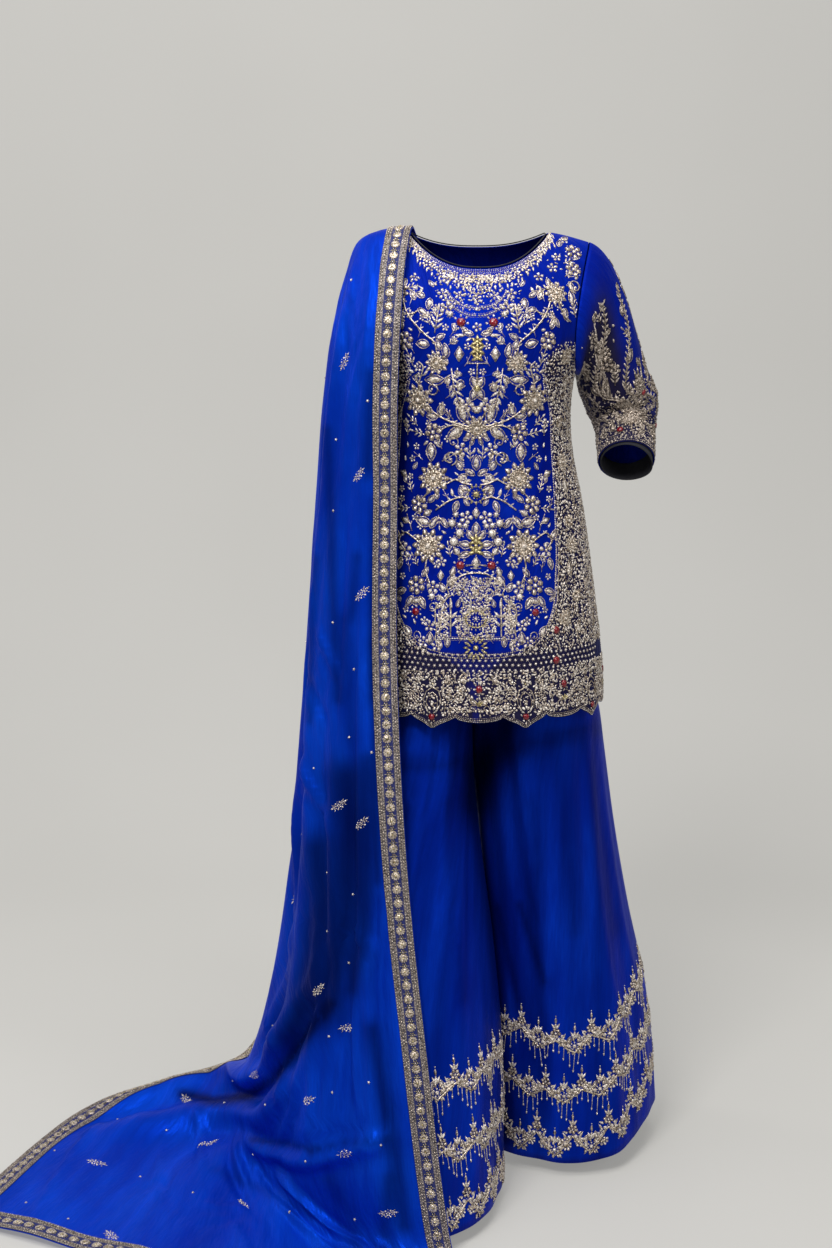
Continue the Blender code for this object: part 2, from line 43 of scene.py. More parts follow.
# ---------------------------------------------------------------- driving sizes
SHOULDER_HEIGHT = 1.440  # the origin, where the wearer's shoulders carry the suit
CLOTH = 0.0015  # wall of the kurti and the sharara
VEIL = 0.0012  # wall of the dupatta
TRIM = 0.0010  # wall of a sewn-on border band
SEAM = 0.0006  # room between two sewn pieces
LAY = 0.0004  # room under a band that lies on a panel

# Kurti -------------------------------------------------------------------------
PIT_HEIGHT = 1.256  # underarm point
NECK_HALF = 0.104  # neckline half width at the shoulder seam
TIP_HALF = 0.162  # shoulder seam end
NECK_POINT = 1.4600
TIP_HEIGHT = 1.4460
FRONT_NECK = 1.4075  # lowest point of the scoop
BACK_NECK = 1.4400
SLIT_TOP = 0.930  # the side slits open below this
HEM_HEIGHT = 0.7700  # cusps of the scalloped hem
LOBE = 0.0660  # width of one scallop
ROUND_LOBE = 0.0080
POINT_LOBE = 0.0190

# Rings round the wearer: half width, depth in front of and behind the side line.
BODY = [
    # height  half    front   back
    (0.740, 0.1960, 0.1680, 0.1780),
    (0.822, 0.1925, 0.1560, 0.1700),
    (0.924, 0.1790, 0.1430, 0.1560),
    (1.000, 0.1680, 0.1300, 0.1430),
    (1.077, 0.1550, 0.1200, 0.1240),
    (1.140, 0.1415, 0.1150, 0.1060),
    (1.200, 0.1370, 0.1190, 0.0990),
    (1.256, 0.1430, 0.1270, 0.1000),
    (1.310, 0.1620, 0.1250, 0.1060),
    (1.360, 0.1800, 0.1120, 0.1080),
    (1.410, 0.1900, 0.0900, 0.1020),
    (1.470, 0.1900, 0.0720, 0.0860),
]
BODY_COLUMNS = ("height", "half", "front", "back")

# Armhole seam seen from the front.
ARMHOLE = [
    # height  half
    (1.256, 0.1430),
    (1.275, 0.1390),
    (1.310, 0.1375),
    (1.360, 0.1420),
    (1.410, 0.1520),
    (1.446, 0.1620),
]
ARMHOLE_COLUMNS = ("height", "half")

# Sleeves: the centre of each ring, its half width across the arm and half depth.
LEFT_SLEEVE = [
    # x       y       height   across   deep
    (0.2040, 0.0400, 1.2450, 0.0530, 0.0560),
    (0.2225, 0.0560, 1.2020, 0.0515, 0.0550),
    (0.2240, 0.0330, 1.1660, 0.0430, 0.0470),
    (0.2215, -0.0080, 1.1270, 0.0415, 0.0440),
]
RIGHT_SLEEVE = [
    (-0.1815, 0.0350, 1.2250, 0.0360, 0.0490),
    (-0.1810, 0.0420, 1.1800, 0.0385, 0.0470),
    (-0.1840, 0.0430, 1.1300, 0.0370, 0.0440),
    (-0.1880, 0.0380, 1.0750, 0.0360, 0.0420),
]
SLEEVE_COLUMNS = ("x", "y", "height", "across", "deep")

# Sharara -----------------------------------------------------------------------
WAIST_TOP = 1.082
WAIST_SEAM = 1.046
RISE_TOP = 0.900  # the two legs begin to part
CROTCH = 0.800
LEG_HEM = 0.024
HIPS = [
    # height  half    front   back
    (0.740, 0.1850, 0.1450, 0.1500),
    (0.820, 0.1800, 0.1400, 0.1500),
    (0.900, 0.1690, 0.1300, 0.1440),
    (0.980, 0.1560, 0.1170, 0.1300),
    (1.046, 0.1430, 0.1060, 0.1120),
    (1.090, 0.1380, 0.1020, 0.1040),
]
# Each leg's ring: its centre, half width, half depth and how far its folds stand out.
LEFT_LEG = [
    # height  x       y       half    deep    fold
    (0.024, 0.1530, 0.0750, 0.1470, 0.1600, 0.0085),
    (0.150, 0.1480, 0.0690, 0.1420, 0.1540, 0.0080),
    (0.254, 0.1410, 0.0620, 0.1350, 0.1470, 0.0070),
    (0.400, 0.1250, 0.0500, 0.1200, 0.1380, 0.0055),
    (0.540, 0.1100, 0.0380, 0.1100, 0.1290, 0.0040),
    (0.680, 0.0970, 0.0220, 0.1030, 0.1160, 0.0020),
    (0.740, 0.0945, 0.0140, 0.0970, 0.1080, 0.0010),
    (0.800, 0.0900, 0.0080, 0.0880, 0.1050, 0.0000),
    (0.900, 0.0900, 0.0050, 0.0830, 0.1050, 0.0000),
]
RIGHT_LEG = [
    (0.024, -0.0960, -0.1250, 0.1380, 0.1830, 0.0085),
    (0.150, -0.0960, -0.1120, 0.1370, 0.1730, 0.0080),
    (0.254, -0.0970, -0.1000, 0.1350, 0.1640, 0.0070),
    (0.400, -0.1020, -0.0780, 0.1270, 0.1480, 0.0055),
    (0.540, -0.1040, -0.0500, 0.1110, 0.1340, 0.0040),
    (0.680, -0.0970, -0.0240, 0.0920, 0.1180, 0.0020),
    (0.740, -0.0940, -0.0120, 0.0880, 0.1100, 0.0010),
    (0.800, -0.0920, -0.0020, 0.0850, 0.1050, 0.0000),
    (0.900, -0.0900, 0.0000, 0.0830, 0.1050, 0.0000),
]
LEG_COLUMNS = ("height", "x", "y", "half", "deep", "fold")

# Dupatta -----------------------------------------------------------------------
BAND = 0.036  # width of its border band
# From the shoulder (station 0) down the front to the floor, then along it to the free end.
# "in" is the long edge beside the neck, "out" the side of the arm and below it the other long edge.
# bulge 1 is a quarter round section, 0 a straight one; fold is how far its folds stand out.
FRONT_FALL = [
    # station in_x    in_y     in_z    out_x    out_y    out_z  bulge  fold
    (0.00, -0.0960, 0.0120, 1.4680, -0.1540, 0.0220, 1.4570, 1.00, 0.0000),
    (0.25, -0.0990, -0.0260, 1.4610, -0.1770, 0.0230, 1.4430, 1.00, 0.0010),
    (0.60, -0.1060, -0.0670, 1.4190, -0.1940, 0.0250, 1.4000, 1.00, 0.0020),
    (1.00, -0.1120, -0.1000, 1.3500, -0.2130, 0.0280, 1.3250, 1.00, 0.0030),
    (1.60, -0.1170, -0.1130, 1.2400, -0.2270, 0.0300, 1.2250, 1.00, 0.0050),
    (2.50, -0.1180, -0.1200, 1.0800, -0.2380, 0.0300, 1.0700, 1.00, 0.0070),
    (3.60, -0.1190, -0.1480, 0.8800, -0.2520, 0.0300, 0.8800, 1.00, 0.0100),
    (4.80, -0.1120, -0.1840, 0.6800, -0.2670, 0.0300, 0.6800, 1.00, 0.0140),
    (6.00, -0.0980, -0.2140, 0.4900, -0.2820, 0.0360, 0.4900, 1.00, 0.0170),
    (7.20, -0.0740, -0.2640, 0.2800, -0.3120, 0.0600, 0.2900, 1.00, 0.0210),
    (8.20, -0.0530, -0.3080, 0.1100, -0.3560, 0.1050, 0.1500, 0.95, 0.0230),
    (9.00, -0.0380, -0.3400, 0.0240, -0.4200, 0.1850, 0.0620, 0.80, 0.0230),
    (9.80, -0.0200, -0.4050, 0.0090, -0.5250, 0.2000, 0.0260, 0.50, 0.0200),
    (10.8, -0.0060, -0.4850, 0.0085, -0.6650, 0.0950, 0.0130, 0.20, 0.0120),
    (12.0, 0.0150, -0.5750, 0.0085, -0.7900, -0.2150, 0.0090, 0.00, 0.0070),
]
# From the same shoulder line down the back to the other end, whose outer corner hangs lowest.
BACK_FALL = [
    (0.00, -0.0960, 0.0120, 1.4680, -0.1540, 0.0220, 1.4570, 1.00, 0.0000),
    (0.25, -0.0930, 0.0560, 1.4640, -0.1770, 0.0230, 1.4430, 1.00, 0.0050),
    (0.60, -0.0800, 0.0980, 1.4250, -0.1940, 0.0250, 1.4000, 1.00, 0.0130),
    (1.00, -0.0580, 0.1220, 1.3560, -0.2130, 0.0280, 1.3250, 1.00, 0.0250),
    (1.60, -0.0270, 0.1280, 1.2450, -0.2270, 0.0300, 1.2250, 1.00, 0.0440),
    (2.50, 0.0030, 0.1440, 1.0900, -0.2380, 0.0300, 1.0700, 1.00, 0.0600),
    (3.60, 0.0230, 0.1760, 0.9150, -0.2520, 0.0300, 0.8800, 1.00, 0.0680),
    (4.80, 0.0330, 0.1950, 0.7600, -0.2670, 0.0350, 0.6800, 1.00, 0.0700),
    (5.60, 0.0370, 0.2010, 0.6800, -0.2760, 0.0560, 0.5500, 1.00, 0.0700),
    (6.60, 0.0400, 0.2040, 0.5900, -0.2800, 0.1000, 0.4000, 1.00, 0.0700),
]
FALL_COLUMNS = ("station", "in_x", "in_y", "in_z", "out_x", "out_y", "out_z", "bulge", "fold")
FLOOR_STATION = 9.0  # the front fall ends here and the train begins

# ---------------------------------------------------------------- helpers


def column(table, columns, name):
    return np.array([row[columns.index(name)] for row in table], float)


def smooth(table, columns, name, at):
    """A named column of a table read at any value of its first column, on a smooth curve through its rows."""
    x, y = column(table, columns, columns[0]), column(table, columns, name)
    at = np.clip(np.asarray(at, float), x[0], x[-1])
    slope = np.gradient(y, x)
    i = np.clip(np.searchsorted(x, at, side="right") - 1, 0, len(x) - 2)
    step = x[i + 1] - x[i]
    t = (at - x[i]) / step
    return (
        (2 * t**3 - 3 * t**2 + 1) * y[i]
        + (t**3 - 2 * t**2 + t) * step * slope[i]
        + (3 * t**2 - 2 * t**3) * y[i + 1]
        + (t**3 - t**2) * step * slope[i + 1]
    )


def ease(low, high, at):
    t = np.clip((np.asarray(at, float) - low) / (high - low), 0, 1)
    return t * t * (3 - 2 * t)


def unit(v):
    return v / np.maximum(np.linalg.norm(v, axis=-1, keepdims=True), 1e-12)


def normals(points):
    """Outward directions at a sheet's points, from its rows and columns."""
    along, across = np.gradient(points, axis=0), np.gradient(points, axis=1)
    return unit(np.cross(across, along))


# ---------------------------------------------------------------- kurti


def shoulder_line(x):
    """Height of the shoulder seam."""
    t = np.clip((np.abs(x) - NECK_HALF) / (TIP_HALF - NECK_HALF), 0, 1.4)
    return NECK_POINT - (NECK_POINT - TIP_HEIGHT) * t**1.3


def panel_top(x, low_neck):
    """Top edge of a body panel: the neckline, then the shoulder seam."""
    t = np.clip(np.abs(x) / NECK_HALF, 0, 1)
    return np.where(t < 1, low_neck + (NECK_POINT - low_neck) * t**2.5, shoulder_line(x))


def edge_angle(z):
    """How far round the body a panel reaches: to the side seam, and above the underarm to the armhole."""
    half = smooth(BODY, BODY_COLUMNS, "half", z)
    arm = smooth(ARMHOLE, ARMHOLE_COLUMNS, "half", z)
    return np.where(z <= PIT_HEIGHT, np.pi / 2, np.arcsin(np.clip(arm / half, -1, 1)))


def body_point(angle, z, side):
    """Point on the kurti. The angle is 0 at the centre line and positive to the wearer's left; side is -1 in front."""
    x = smooth(BODY, BODY_COLUMNS, "half", z) * np.sin(angle)
    deep = np.where(side < 0, smooth(BODY, BODY_COLUMNS, "front", z), smooth(BODY, BODY_COLUMNS, "back", z))
    rolled = np.clip((shoulder_line(x) - z) / 0.085, 0, 1)
    y = side * deep * np.cos(angle) * np.sqrt(np.clip(1 - (1 - rolled) ** 2, 0, 1)) + 0.012 * ease(1.30, 1.46, z)
    return np.stack([x, y, z], -1)


def scallop(arc):
    """How far the hem hangs below its cusps: round lobes at the centre line and every second one, pointed ones between."""
    k = np.round(arc / LOBE)
    t = np.clip(np.abs(arc / LOBE - k) * 2, 0, 1)
    return np.where(k % 2 == 0, ROUND_LOBE * np.sqrt(1 - t**2), POINT_LOBE * (0.45 * (1 - t) + 0.55 * (1 - t**2)) * (1 - 0.25 * np.sin(np.pi * t)))


PIT_ROW = 0.60  # share of a body panel's rows that lie below the underarm


def kurti(u, v, side):
    """Body panel, u from -1 at the wearer's right to 1 at the left, v from 0 at the hem to 1 at the top."""
    u, v = np.broadcast_arrays(np.asarray(u, float), np.asarray(v, float))
    low_neck = FRONT_NECK if side < 0 else BACK_NECK
    top = np.full(u.shape, NECK_POINT)
    for _ in range(12):
        top = panel_top(smooth(BODY, BODY_COLUMNS, "half", top) * np.sin(u * edge_angle(np.maximum(top, PIT_HEIGHT + 0.12))), low_neck)
    low = np.clip(1 - v / PIT_ROW, 0, 1)
    w = np.clip((1 - v) / (1 - PIT_ROW), 0, 1)
    z = np.where(
        v <= PIT_ROW,
        PIT_HEIGHT - (PIT_HEIGHT - HEM_HEIGHT) * low,
        top - (top - PIT_HEIGHT) * 1.6 * w * w / (w + 0.6),
    )
    z = z - scallop(u * 0.2870) * ease(0.80, 1.0, low) * 1.0
    reach = edge_angle(z) - (SEAM / 2 + 0.004 * ease(SLIT_TOP + 0.02, SLIT_TOP - 0.06, z)) / smooth(BODY, BODY_COLUMNS, "half", z)
    return body_point(u * reach, z, side)


# ---------------------------------------------------------------- sleeves


def armhole(turn, hand):
    """Armhole seam: turn 0 at the shoulder tip, 0.5 at the underarm by way of the front, 1 at the tip again."""
    w = np.where(turn <= 0.5, 2 * turn, 2 * (1 - turn))
    side = np.where(turn <= 0.5, -1.0, 1.0)
    z = TIP_HEIGHT - (TIP_HEIGHT - PIT_HEIGHT) * 1.6 * w * w / (w + 0.6)
    p = body_point(edge_angle(z + 1e-9), z, side)
    return p * np.array([hand, 1, 1])


def sleeve(turn, s, hand, table, out=0.0, past=0.0):
    """Sleeve, s from 0 at the armhole to 1 at the cuff; out moves it out and past carries it beyond the cuff."""
    turn, s = np.broadcast_arrays(np.asarray(turn, float), np.asarray(s, float))
    centre = np.stack([column(table, SLEEVE_COLUMNS, n) for n in ("x", "y", "height")], -1)
    across, deep = column(table, SLEEVE_COLUMNS, "across"), column(table, SLEEVE_COLUMNS, "deep")
    count = len(table)
    along = unit(np.gradient(centre, axis=0))
    outward = np.array([hand, 0.0, 0.0]) - along * (along @ np.array([hand, 0.0, 0.0]))[:, None]
    outward = unit(outward)
    front = unit(np.cross(along, outward)) * hand
    front = np.where((front @ np.array([0, -1, 0.3]))[:, None] < 0, -front, front)
    angle = 2 * np.pi * turn
    rings = [
        centre[k]
        + (across[k] + out) * np.cos(angle)[..., None] * outward[k]
        + (deep[k] + out) * np.sin(angle)[..., None] * front[k]
        for k in range(count)
    ]
    seam = armhole(turn, hand)
    first = rings[0]
    # sleeve head: from the seam out over the shoulder and down to the first ring
    cap = np.array([0.9, 0.10, -0.30]) if hand > 0 else np.array([-0.36, 0.05, -0.75])
    reach = np.linalg.norm(first - seam, axis=-1, keepdims=True)
    start, end = cap * reach * 0.75, along[0] * reach * 0.95
    head = 0.42
    t = np.clip(s / head, 0, 1)[..., None]
    capped = (
        (2 * t**3 - 3 * t**2 + 1) * (seam + out * np.array([hand, 0, 0]))
        + (t**3 - 2 * t**2 + t) * start
        + (3 * t**2 - 2 * t**3) * first
        + (t**3 - t**2) * end
    )
    # arm: a smooth curve through the rings
    q = np.clip((s - head) / (1 - head), 0, 1) * (count - 1)
    i = np.clip(q.astype(int), 0, count - 2)
    f = (q - i)[..., None]
    stack = np.stack(rings)
    pick = lambda k: np.take_along_axis(stack, np.clip(k, 0, count - 1)[None, ..., None], 0)[0]
    a, b = pick(i), pick(i + 1)
    ta = np.where((i > 0)[..., None], (b - pick(i - 1)) / 2, end / reach * np.linalg.norm(b - a, axis=-1, keepdims=True))
    tb = np.where((i < count - 2)[..., None], (pick(i + 2) - a) / 2, b - a)
    armed = (2 * f**3 - 3 * f**2 + 1) * a + (f**3 - 2 * f**2 + f) * ta + (3 * f**2 - 2 * f**3) * b + (f**3 - f**2) * tb
    p = np.where((s <= head)[..., None], capped, armed)
    return p + along[-1] * past * ease(0.9, 1.0, s)[..., None]


# ---------------------------------------------------------------- sharara


def leg_folds(turn, z, hand):
    """Long soft folds of a flared leg, uneven round the leg and fuller towards the hem."""
    a = 2 * np.pi * turn
    drift = 0.35 * np.sin(2.1 * z + 0.8 * hand)
    return 0.55 * np.sin(5 * a + 0.9 * hand + drift) + 0.30 * np.sin(8 * a + 2.2 + 0.6 * hand - 2 * drift) + 0.15 * np.sin(11 * a + 0.7 * hand)


def leg(u, v, hand, side, table):
    """Leg panel, u from 0 at the side seam to 1 at the centre seam and inseam, v from 0 at the hem to 1 at the waist."""
    u, v = np.broadcast_arrays(np.asarray(u, float), np.asarray(v, float))
    z = LEG_HEM + (WAIST_SEAM - SEAM - LEG_HEM) * v
    parted = 1 - ease(CROTCH, RISE_TOP, z)
    gap = SEAM / 2
    angle = np.pi * (gap / 0.45 + u * (1 - 2 * gap / 0.45))
    fold = smooth(table, LEG_COLUMNS, "fold", z) * leg_folds((1 - side) / 2 + side * angle / (2 * np.pi), z, hand)
    fold = fold * (1 - 0.7 * ease(0.62, 1.0, u)) * np.minimum(1, 1.15 - 0.3 * ease(0, 0.06, 1 - u))
    x = smooth(table, LEG_COLUMNS, "x", z) + hand * (smooth(table, LEG_COLUMNS, "half", z) + fold) * np.cos(angle)
    y = smooth(table, LEG_COLUMNS, "y", z) + side * (smooth(table, LEG_COLUMNS, "deep", z) + fold) * np.sin(angle)
    half = np.pi / 2 * (gap / 0.25 + u * (1 - gap / 0.25))
    hx = hand * (smooth(HIPS, BODY_COLUMNS, "half", z) * np.cos(half) + gap)
    deep = smooth(HIPS, BODY_COLUMNS, "front" if side < 0 else "back", z)
    hy = side * deep * np.sin(half)
    return np.stack([hx + (x - hx) * parted, hy + (y - hy) * parted, z], -1)


# ---------------------------------------------------------------- dupatta


def fall_folds(u, station, back):
    """Lengthwise folds of the hanging dupatta, 0 to 1 outwards: few and soft in front, many and deep behind."""
    d = 0.10 * np.sin(0.55 * station + back)
    if back:
        wave = 0.78 * np.sin(2 * np.pi * (6.1 * u + 0.30 + 0.7 * d)) + 0.22 * np.sin(2 * np.pi * (2.3 * u + 0.45 - d))
    else:
        late = u**1.15
        wave = 0.70 * np.sin(2 * np.pi * (4.2 * late - 0.22 + d)) + 0.30 * np.sin(2 * np.pi * (1.7 * late + 0.40 - 1.6 * d))
    return (0.5 + 0.5 * wave) * (1 - ease(0.90 - 0.14 * back, 1.0, u)) * (0.25 + 0.75 * ease(0.0, 0.30 - 0.15 * back, u))


def fall(u, station, table, back):
    """Dupatta, u from 0 at its inner long edge to 1 at the arm's side and, lower down, its outer long edge."""
    u, station = np.broadcast_arrays(np.asarray(u, float), np.asarray(station, float))
    read = lambda name: smooth(table, FALL_COLUMNS, name, station)
    angle = np.pi / 2 * u
    bulge = read("bulge")
    gx = (1 - bulge) * u + bulge * np.sin(angle) ** 0.92
    gy = (1 - bulge) * (1 - u) + bulge * np.cos(angle) ** 0.92
    x = read("in_x") + (read("out_x") - read("in_x")) * gx
    y = read("out_y") + (read("in_y") - read("out_y")) * gy
    z = read("in_z") + (read("out_z") - read("in_z")) * u**1.8
    fold = read("fold") * fall_folds(u, station, back)
    standing = np.ones(u.shape) if back else 1 - ease(FLOOR_STATION - 1.2, FLOOR_STATION + 0.4, station)
    facing = 1.0 if back else -1.0
    x = x - fold * standing * np.sin(angle) * (0.35 if back else 1.0)
    y = y + fold * standing * np.cos(angle) * facing + facing * 0.0015
    z = z + fold * (1 - standing)
    return np.stack([x, y, z], -1)


def along_row(points, places):
    """A row of points read again at distances along it."""
    run = np.concatenate([[0.0], np.cumsum(np.linalg.norm(np.diff(points, axis=0), axis=1))])
    return np.stack([np.interp(places(run[-1]), run, points[:, k]) for k in range(3)], -1)


def fall_grid(stations, table, back, between):
    """Rows of the dupatta with columns on both long edges at half a band and a whole band, and evenly between."""
    fine = np.linspace(0, 1, 401)
    places = lambda length: np.concatenate(
        [[0, BAND / 2], np.linspace(BAND, length - BAND, between + 1), [length - BAND / 2, length]]
    )
    return np.stack([along_row(fall(fine, station, table, back), places) for station in stations])


def end_rows(points, rows, closer):
    """The same sheet with rows a band and half a band from its last row; closer above 1 crowds the first rows."""
    places = lambda length: np.concatenate([np.linspace(0, 1, rows + 1) ** closer * (length - BAND), [length - BAND / 2, length]])
    return np.stack([along_row(points[:, c], places) for c in range(points.shape[1])], axis=1)


# ---------------------------------------------------------------- materials


def tree_of(name):
    material = bpy.data.materials.new(name)
    material.use_nodes = True
    tree = material.node_tree
    return material, tree, tree.nodes["Principled BSDF"]


def node(tree, kind, **values):
    made = tree.nodes.new(kind)
    for name, value in values.items():
        if name in made.inputs:
            made.inputs[name].default_value = value
        else:
            setattr(made, name, value)
    return made


def mix_colour(tree, a, b, factor):
    mixed = node(tree, "ShaderNodeMix", data_type="RGBA")
    for socket, value in ((mixed.inputs[6], a), (mixed.inputs[7], b)):
        if isinstance(value, tuple):
            socket.default_value = (*value, 1)
        else:
            tree.links.new(value, socket)
    tree.links.new(factor, mixed.inputs[0])
    return mixed.outputs[2]


def noise(tree, coords, scale, stretch=(1, 1, 1), detail=3.0, low=0.35, high=0.65):
    """Soft random values from 0 to 1 on coordinates in metres."""
    placed = node(tree, "ShaderNodeMapping", Scale=tuple(scale * s for s in stretch))
    tree.links.new(coords, placed.inputs["Vector"])
    made = node(tree, "ShaderNodeTexNoise", Scale=1.0, Detail=detail)
    tree.links.new(placed.outputs[0], made.inputs["Vector"])
    ranged = node(tree, "ShaderNodeMapRange")
    ranged.inputs[1].default_value, ranged.inputs[2].default_value = low, high
    tree.links.new(made.outputs[0], ranged.inputs[0])
    return ranged.outputs[0]


def cloth_look(name, deep, lit, roughness, sheen=0.5, crinkle=0.25, veil=0.0, gloss=0.3, painted_streak_shade=0.0):
    """Woven silk: fine warp and weft, slubs and soft crinkles, with painted light and shade: a broad mottle between a
    shaded and a lit blue, dark lengthwise streaks, and near-black where the attributes paint shade or a dark ground.
    UVs are metres on the cloth.
    """
    material, tree, shader = tree_of(name)
    uv = node(tree, "ShaderNodeUVMap", uv_map="cloth").outputs[0]
    broad = noise(tree, uv, 9, (1, 0.45, 1))
    slub = noise(tree, uv, 420, (1.0, 0.06, 1), 2.0)
    warp = noise(tree, uv, 2600, (1.0, 0.10, 1), 1.0)
    weft = noise(tree, uv, 2600, (0.10, 1.0, 1), 1.0)
    # painted light and shade: a broad mottle between the shaded and the lit blue
    colour = mix_colour(tree, deep, lit, broad)
    colour = mix_colour(tree, colour, tuple(c * 0.80 for c in deep), node_scale(tree, slub, 0.30))
    # painted light and shade: dark lengthwise streaks between lighter ones, as the satin's long folds catch the light
    if painted_streak_shade:
        long = noise(tree, uv, 30, (1, 0.045, 1), 2.0, 0.32, 0.68)
        colour = mix_colour(tree, colour, tuple(c * 0.30 for c in deep), node_scale(tree, long, painted_streak_shade))
    # dark ground under dense work, partly painted shade: near-black where the close-set beads shade the cloth, and on
    # the sleeves painted shade over the under side and lower arm
    worked = node(tree, "ShaderNodeAttribute", attribute_name="worked", attribute_type="GEOMETRY").outputs["Fac"]
    colour = mix_colour(tree, colour, (0.016, 0.013, 0.018), worked)
    # painted shade: a per-point attribute darkens the blue towards near-black, for the shade in folds and under the
    # kurti's hem
    hollow = node(tree, "ShaderNodeAttribute", attribute_name="hollow", attribute_type="GEOMETRY").outputs["Fac"]
    colour = mix_colour(tree, colour, (0.0004, 0.0016, 0.022), hollow)
    tree.links.new(colour, shader.inputs["Base Color"])
    rough = node(tree, "ShaderNodeMapRange")
    rough.inputs[3].default_value, rough.inputs[4].default_value = roughness - 0.05, roughness + 0.07
    tree.links.new(slub, rough.inputs[0])
    tree.links.new(rough.outputs[0], shader.inputs["Roughness"])
    shader.inputs["Metallic"].default_value = gloss
    shader.inputs["Specular IOR Level"].default_value = 0.06
    shader.inputs["Specular Tint"].default_value = (0.02, 0.16, 1.0, 1)
    shader.inputs["Sheen Weight"].default_value = sheen
    shader.inputs["Sheen Roughness"].default_value = 0.45
    shader.inputs["Sheen Tint"].default_value = (0.01, 0.12, 1.0, 1)
    shader.inputs["Anisotropic"].default_value = 0.5
    soft = noise(tree, uv, 55, (1.0, 0.35, 1), 2.0, 0.2, 0.8)
    threads = node(tree, "ShaderNodeMath", operation="ADD")
    tree.links.new(warp, threads.inputs[0])
    tree.links.new(weft, threads.inputs[1])
    fine = node(tree, "ShaderNodeBump", Strength=0.22, Distance=0.00022)
    tree.links.new(threads.outputs[0], fine.inputs["Height"])
    wide = node(tree, "ShaderNodeBump", Strength=crinkle, Distance=0.004)
    tree.links.new(soft, wide.inputs["Height"])
    tree.links.new(fine.outputs[0], wide.inputs["Normal"])
    tree.links.new(wide.outputs[0], shader.inputs["Normal"])
    if veil:
        thin = node(tree, "ShaderNodeBsdfTranslucent")
        thin.inputs["Color"].default_value = (*lit, 1)
        both = node(tree, "ShaderNodeMixShader")
        both.inputs[0].default_value = veil
        tree.links.new(shader.outputs[0], both.inputs[1])
        tree.links.new(thin.outputs[0], both.inputs[2])
        tree.links.new(both.outputs[0], tree.nodes["Material Output"].inputs["Surface"])
    return material


def node_scale(tree, value, by):
    times = node(tree, "ShaderNodeMath", operation="MULTIPLY")
    tree.links.new(value, times.inputs[0])
    times.inputs[1].default_value = by
    return times.outputs[0]


def ranged(tree, value, low, high, start=0.0, end=1.0):
    made = node(tree, "ShaderNodeMapRange")
    for socket, number in zip(made.inputs[1:5], (low, high, start, end)):
        socket.default_value = number
    tree.links.new(value, made.inputs[0])
    return made.outputs[0]


def thread_look(name, light, dark, roughness, metallic, grain=480, rise=0.0006):
    """Metal thread, sequins and beads: bright and dark grains side by side as painted glints, darker patches here and
    there, and painted shade in the gaps between the grains.
    """
    material, tree, shader = tree_of(name)
    place = node(tree, "ShaderNodeTexCoord").outputs["Object"]
    cells = node(tree, "ShaderNodeTexVoronoi", Scale=grain)
    tree.links.new(place, cells.inputs["Vector"])
    apart = node(tree, "ShaderNodeSeparateColor")
    tree.links.new(cells.outputs["Color"], apart.inputs[0])
    patches = noise(tree, place, 150, (1, 1, 1), 2.0, 0.40, 0.70)
    # painted glints: each grain is randomly the bright or the dark tone, as sequins catch the light or not
    colour = mix_colour(tree, light, dark, ranged(tree, apart.outputs[0], 0.48, 1.0))
    colour = mix_colour(tree, colour, tuple(c * 0.62 for c in dark), node_scale(tree, patches, 0.35))
    # painted shade in the gaps between the grains
    colour = mix_colour(tree, colour, tuple(c * 0.22 for c in dark), ranged(tree, cells.outputs["Distance"], 0.42, 0.70, 0.0, 0.70))
    strands = ranged(tree, cells.outputs["Distance"], 0.0, 0.62, 1.0, 0.0)
    tree.links.new(colour, shader.inputs["Base Color"])
    shader.inputs["Metallic"].default_value = metallic
    shader.inputs["Roughness"].default_value = roughness
    shader.inputs["Specular IOR Level"].default_value = 0.6
    bump = node(tree, "ShaderNodeBump", Strength=0.75, Distance=rise)
    tree.links.new(strands, bump.inputs["Height"])
    tree.links.new(bump.outputs[0], shader.inputs["Normal"])
    return material


def stone_look(name, colour, roughness):
    material, tree, shader = tree_of(name)
    place = node(tree, "ShaderNodeTexCoord").outputs["Object"]
    clouds = noise(tree, place, 500, (1, 1, 1), 2.0)
    tree.links.new(mix_colour(tree, colour, tuple(c * 0.45 for c in colour), clouds), shader.inputs["Base Color"])
    shader.inputs["Roughness"].default_value = roughness
    shader.inputs["Coat Weight"].default_value = 0.35
    shader.inputs["Coat Roughness"].default_value = 0.06
    return material


def dull_look(name, colour, other, roughness, grain=1500):
    """Cotton or net: dull, with a fine weave."""
    material, tree, shader = tree_of(name)
    uv = node(tree, "ShaderNodeTexCoord").outputs["Object"]
    weave = noise(tree, uv, grain, (1, 1, 1), 1.0)
    tree.links.new(mix_colour(tree, colour, other, weave), shader.inputs["Base Color"])
    shader.inputs["Roughness"].default_value = roughness
    bump = node(tree, "ShaderNodeBump", Strength=0.5, Distance=0.0003)
    tree.links.new(weave, bump.inputs["Height"])
    tree.links.new(bump.outputs[0], shader.inputs["Normal"])
    return material


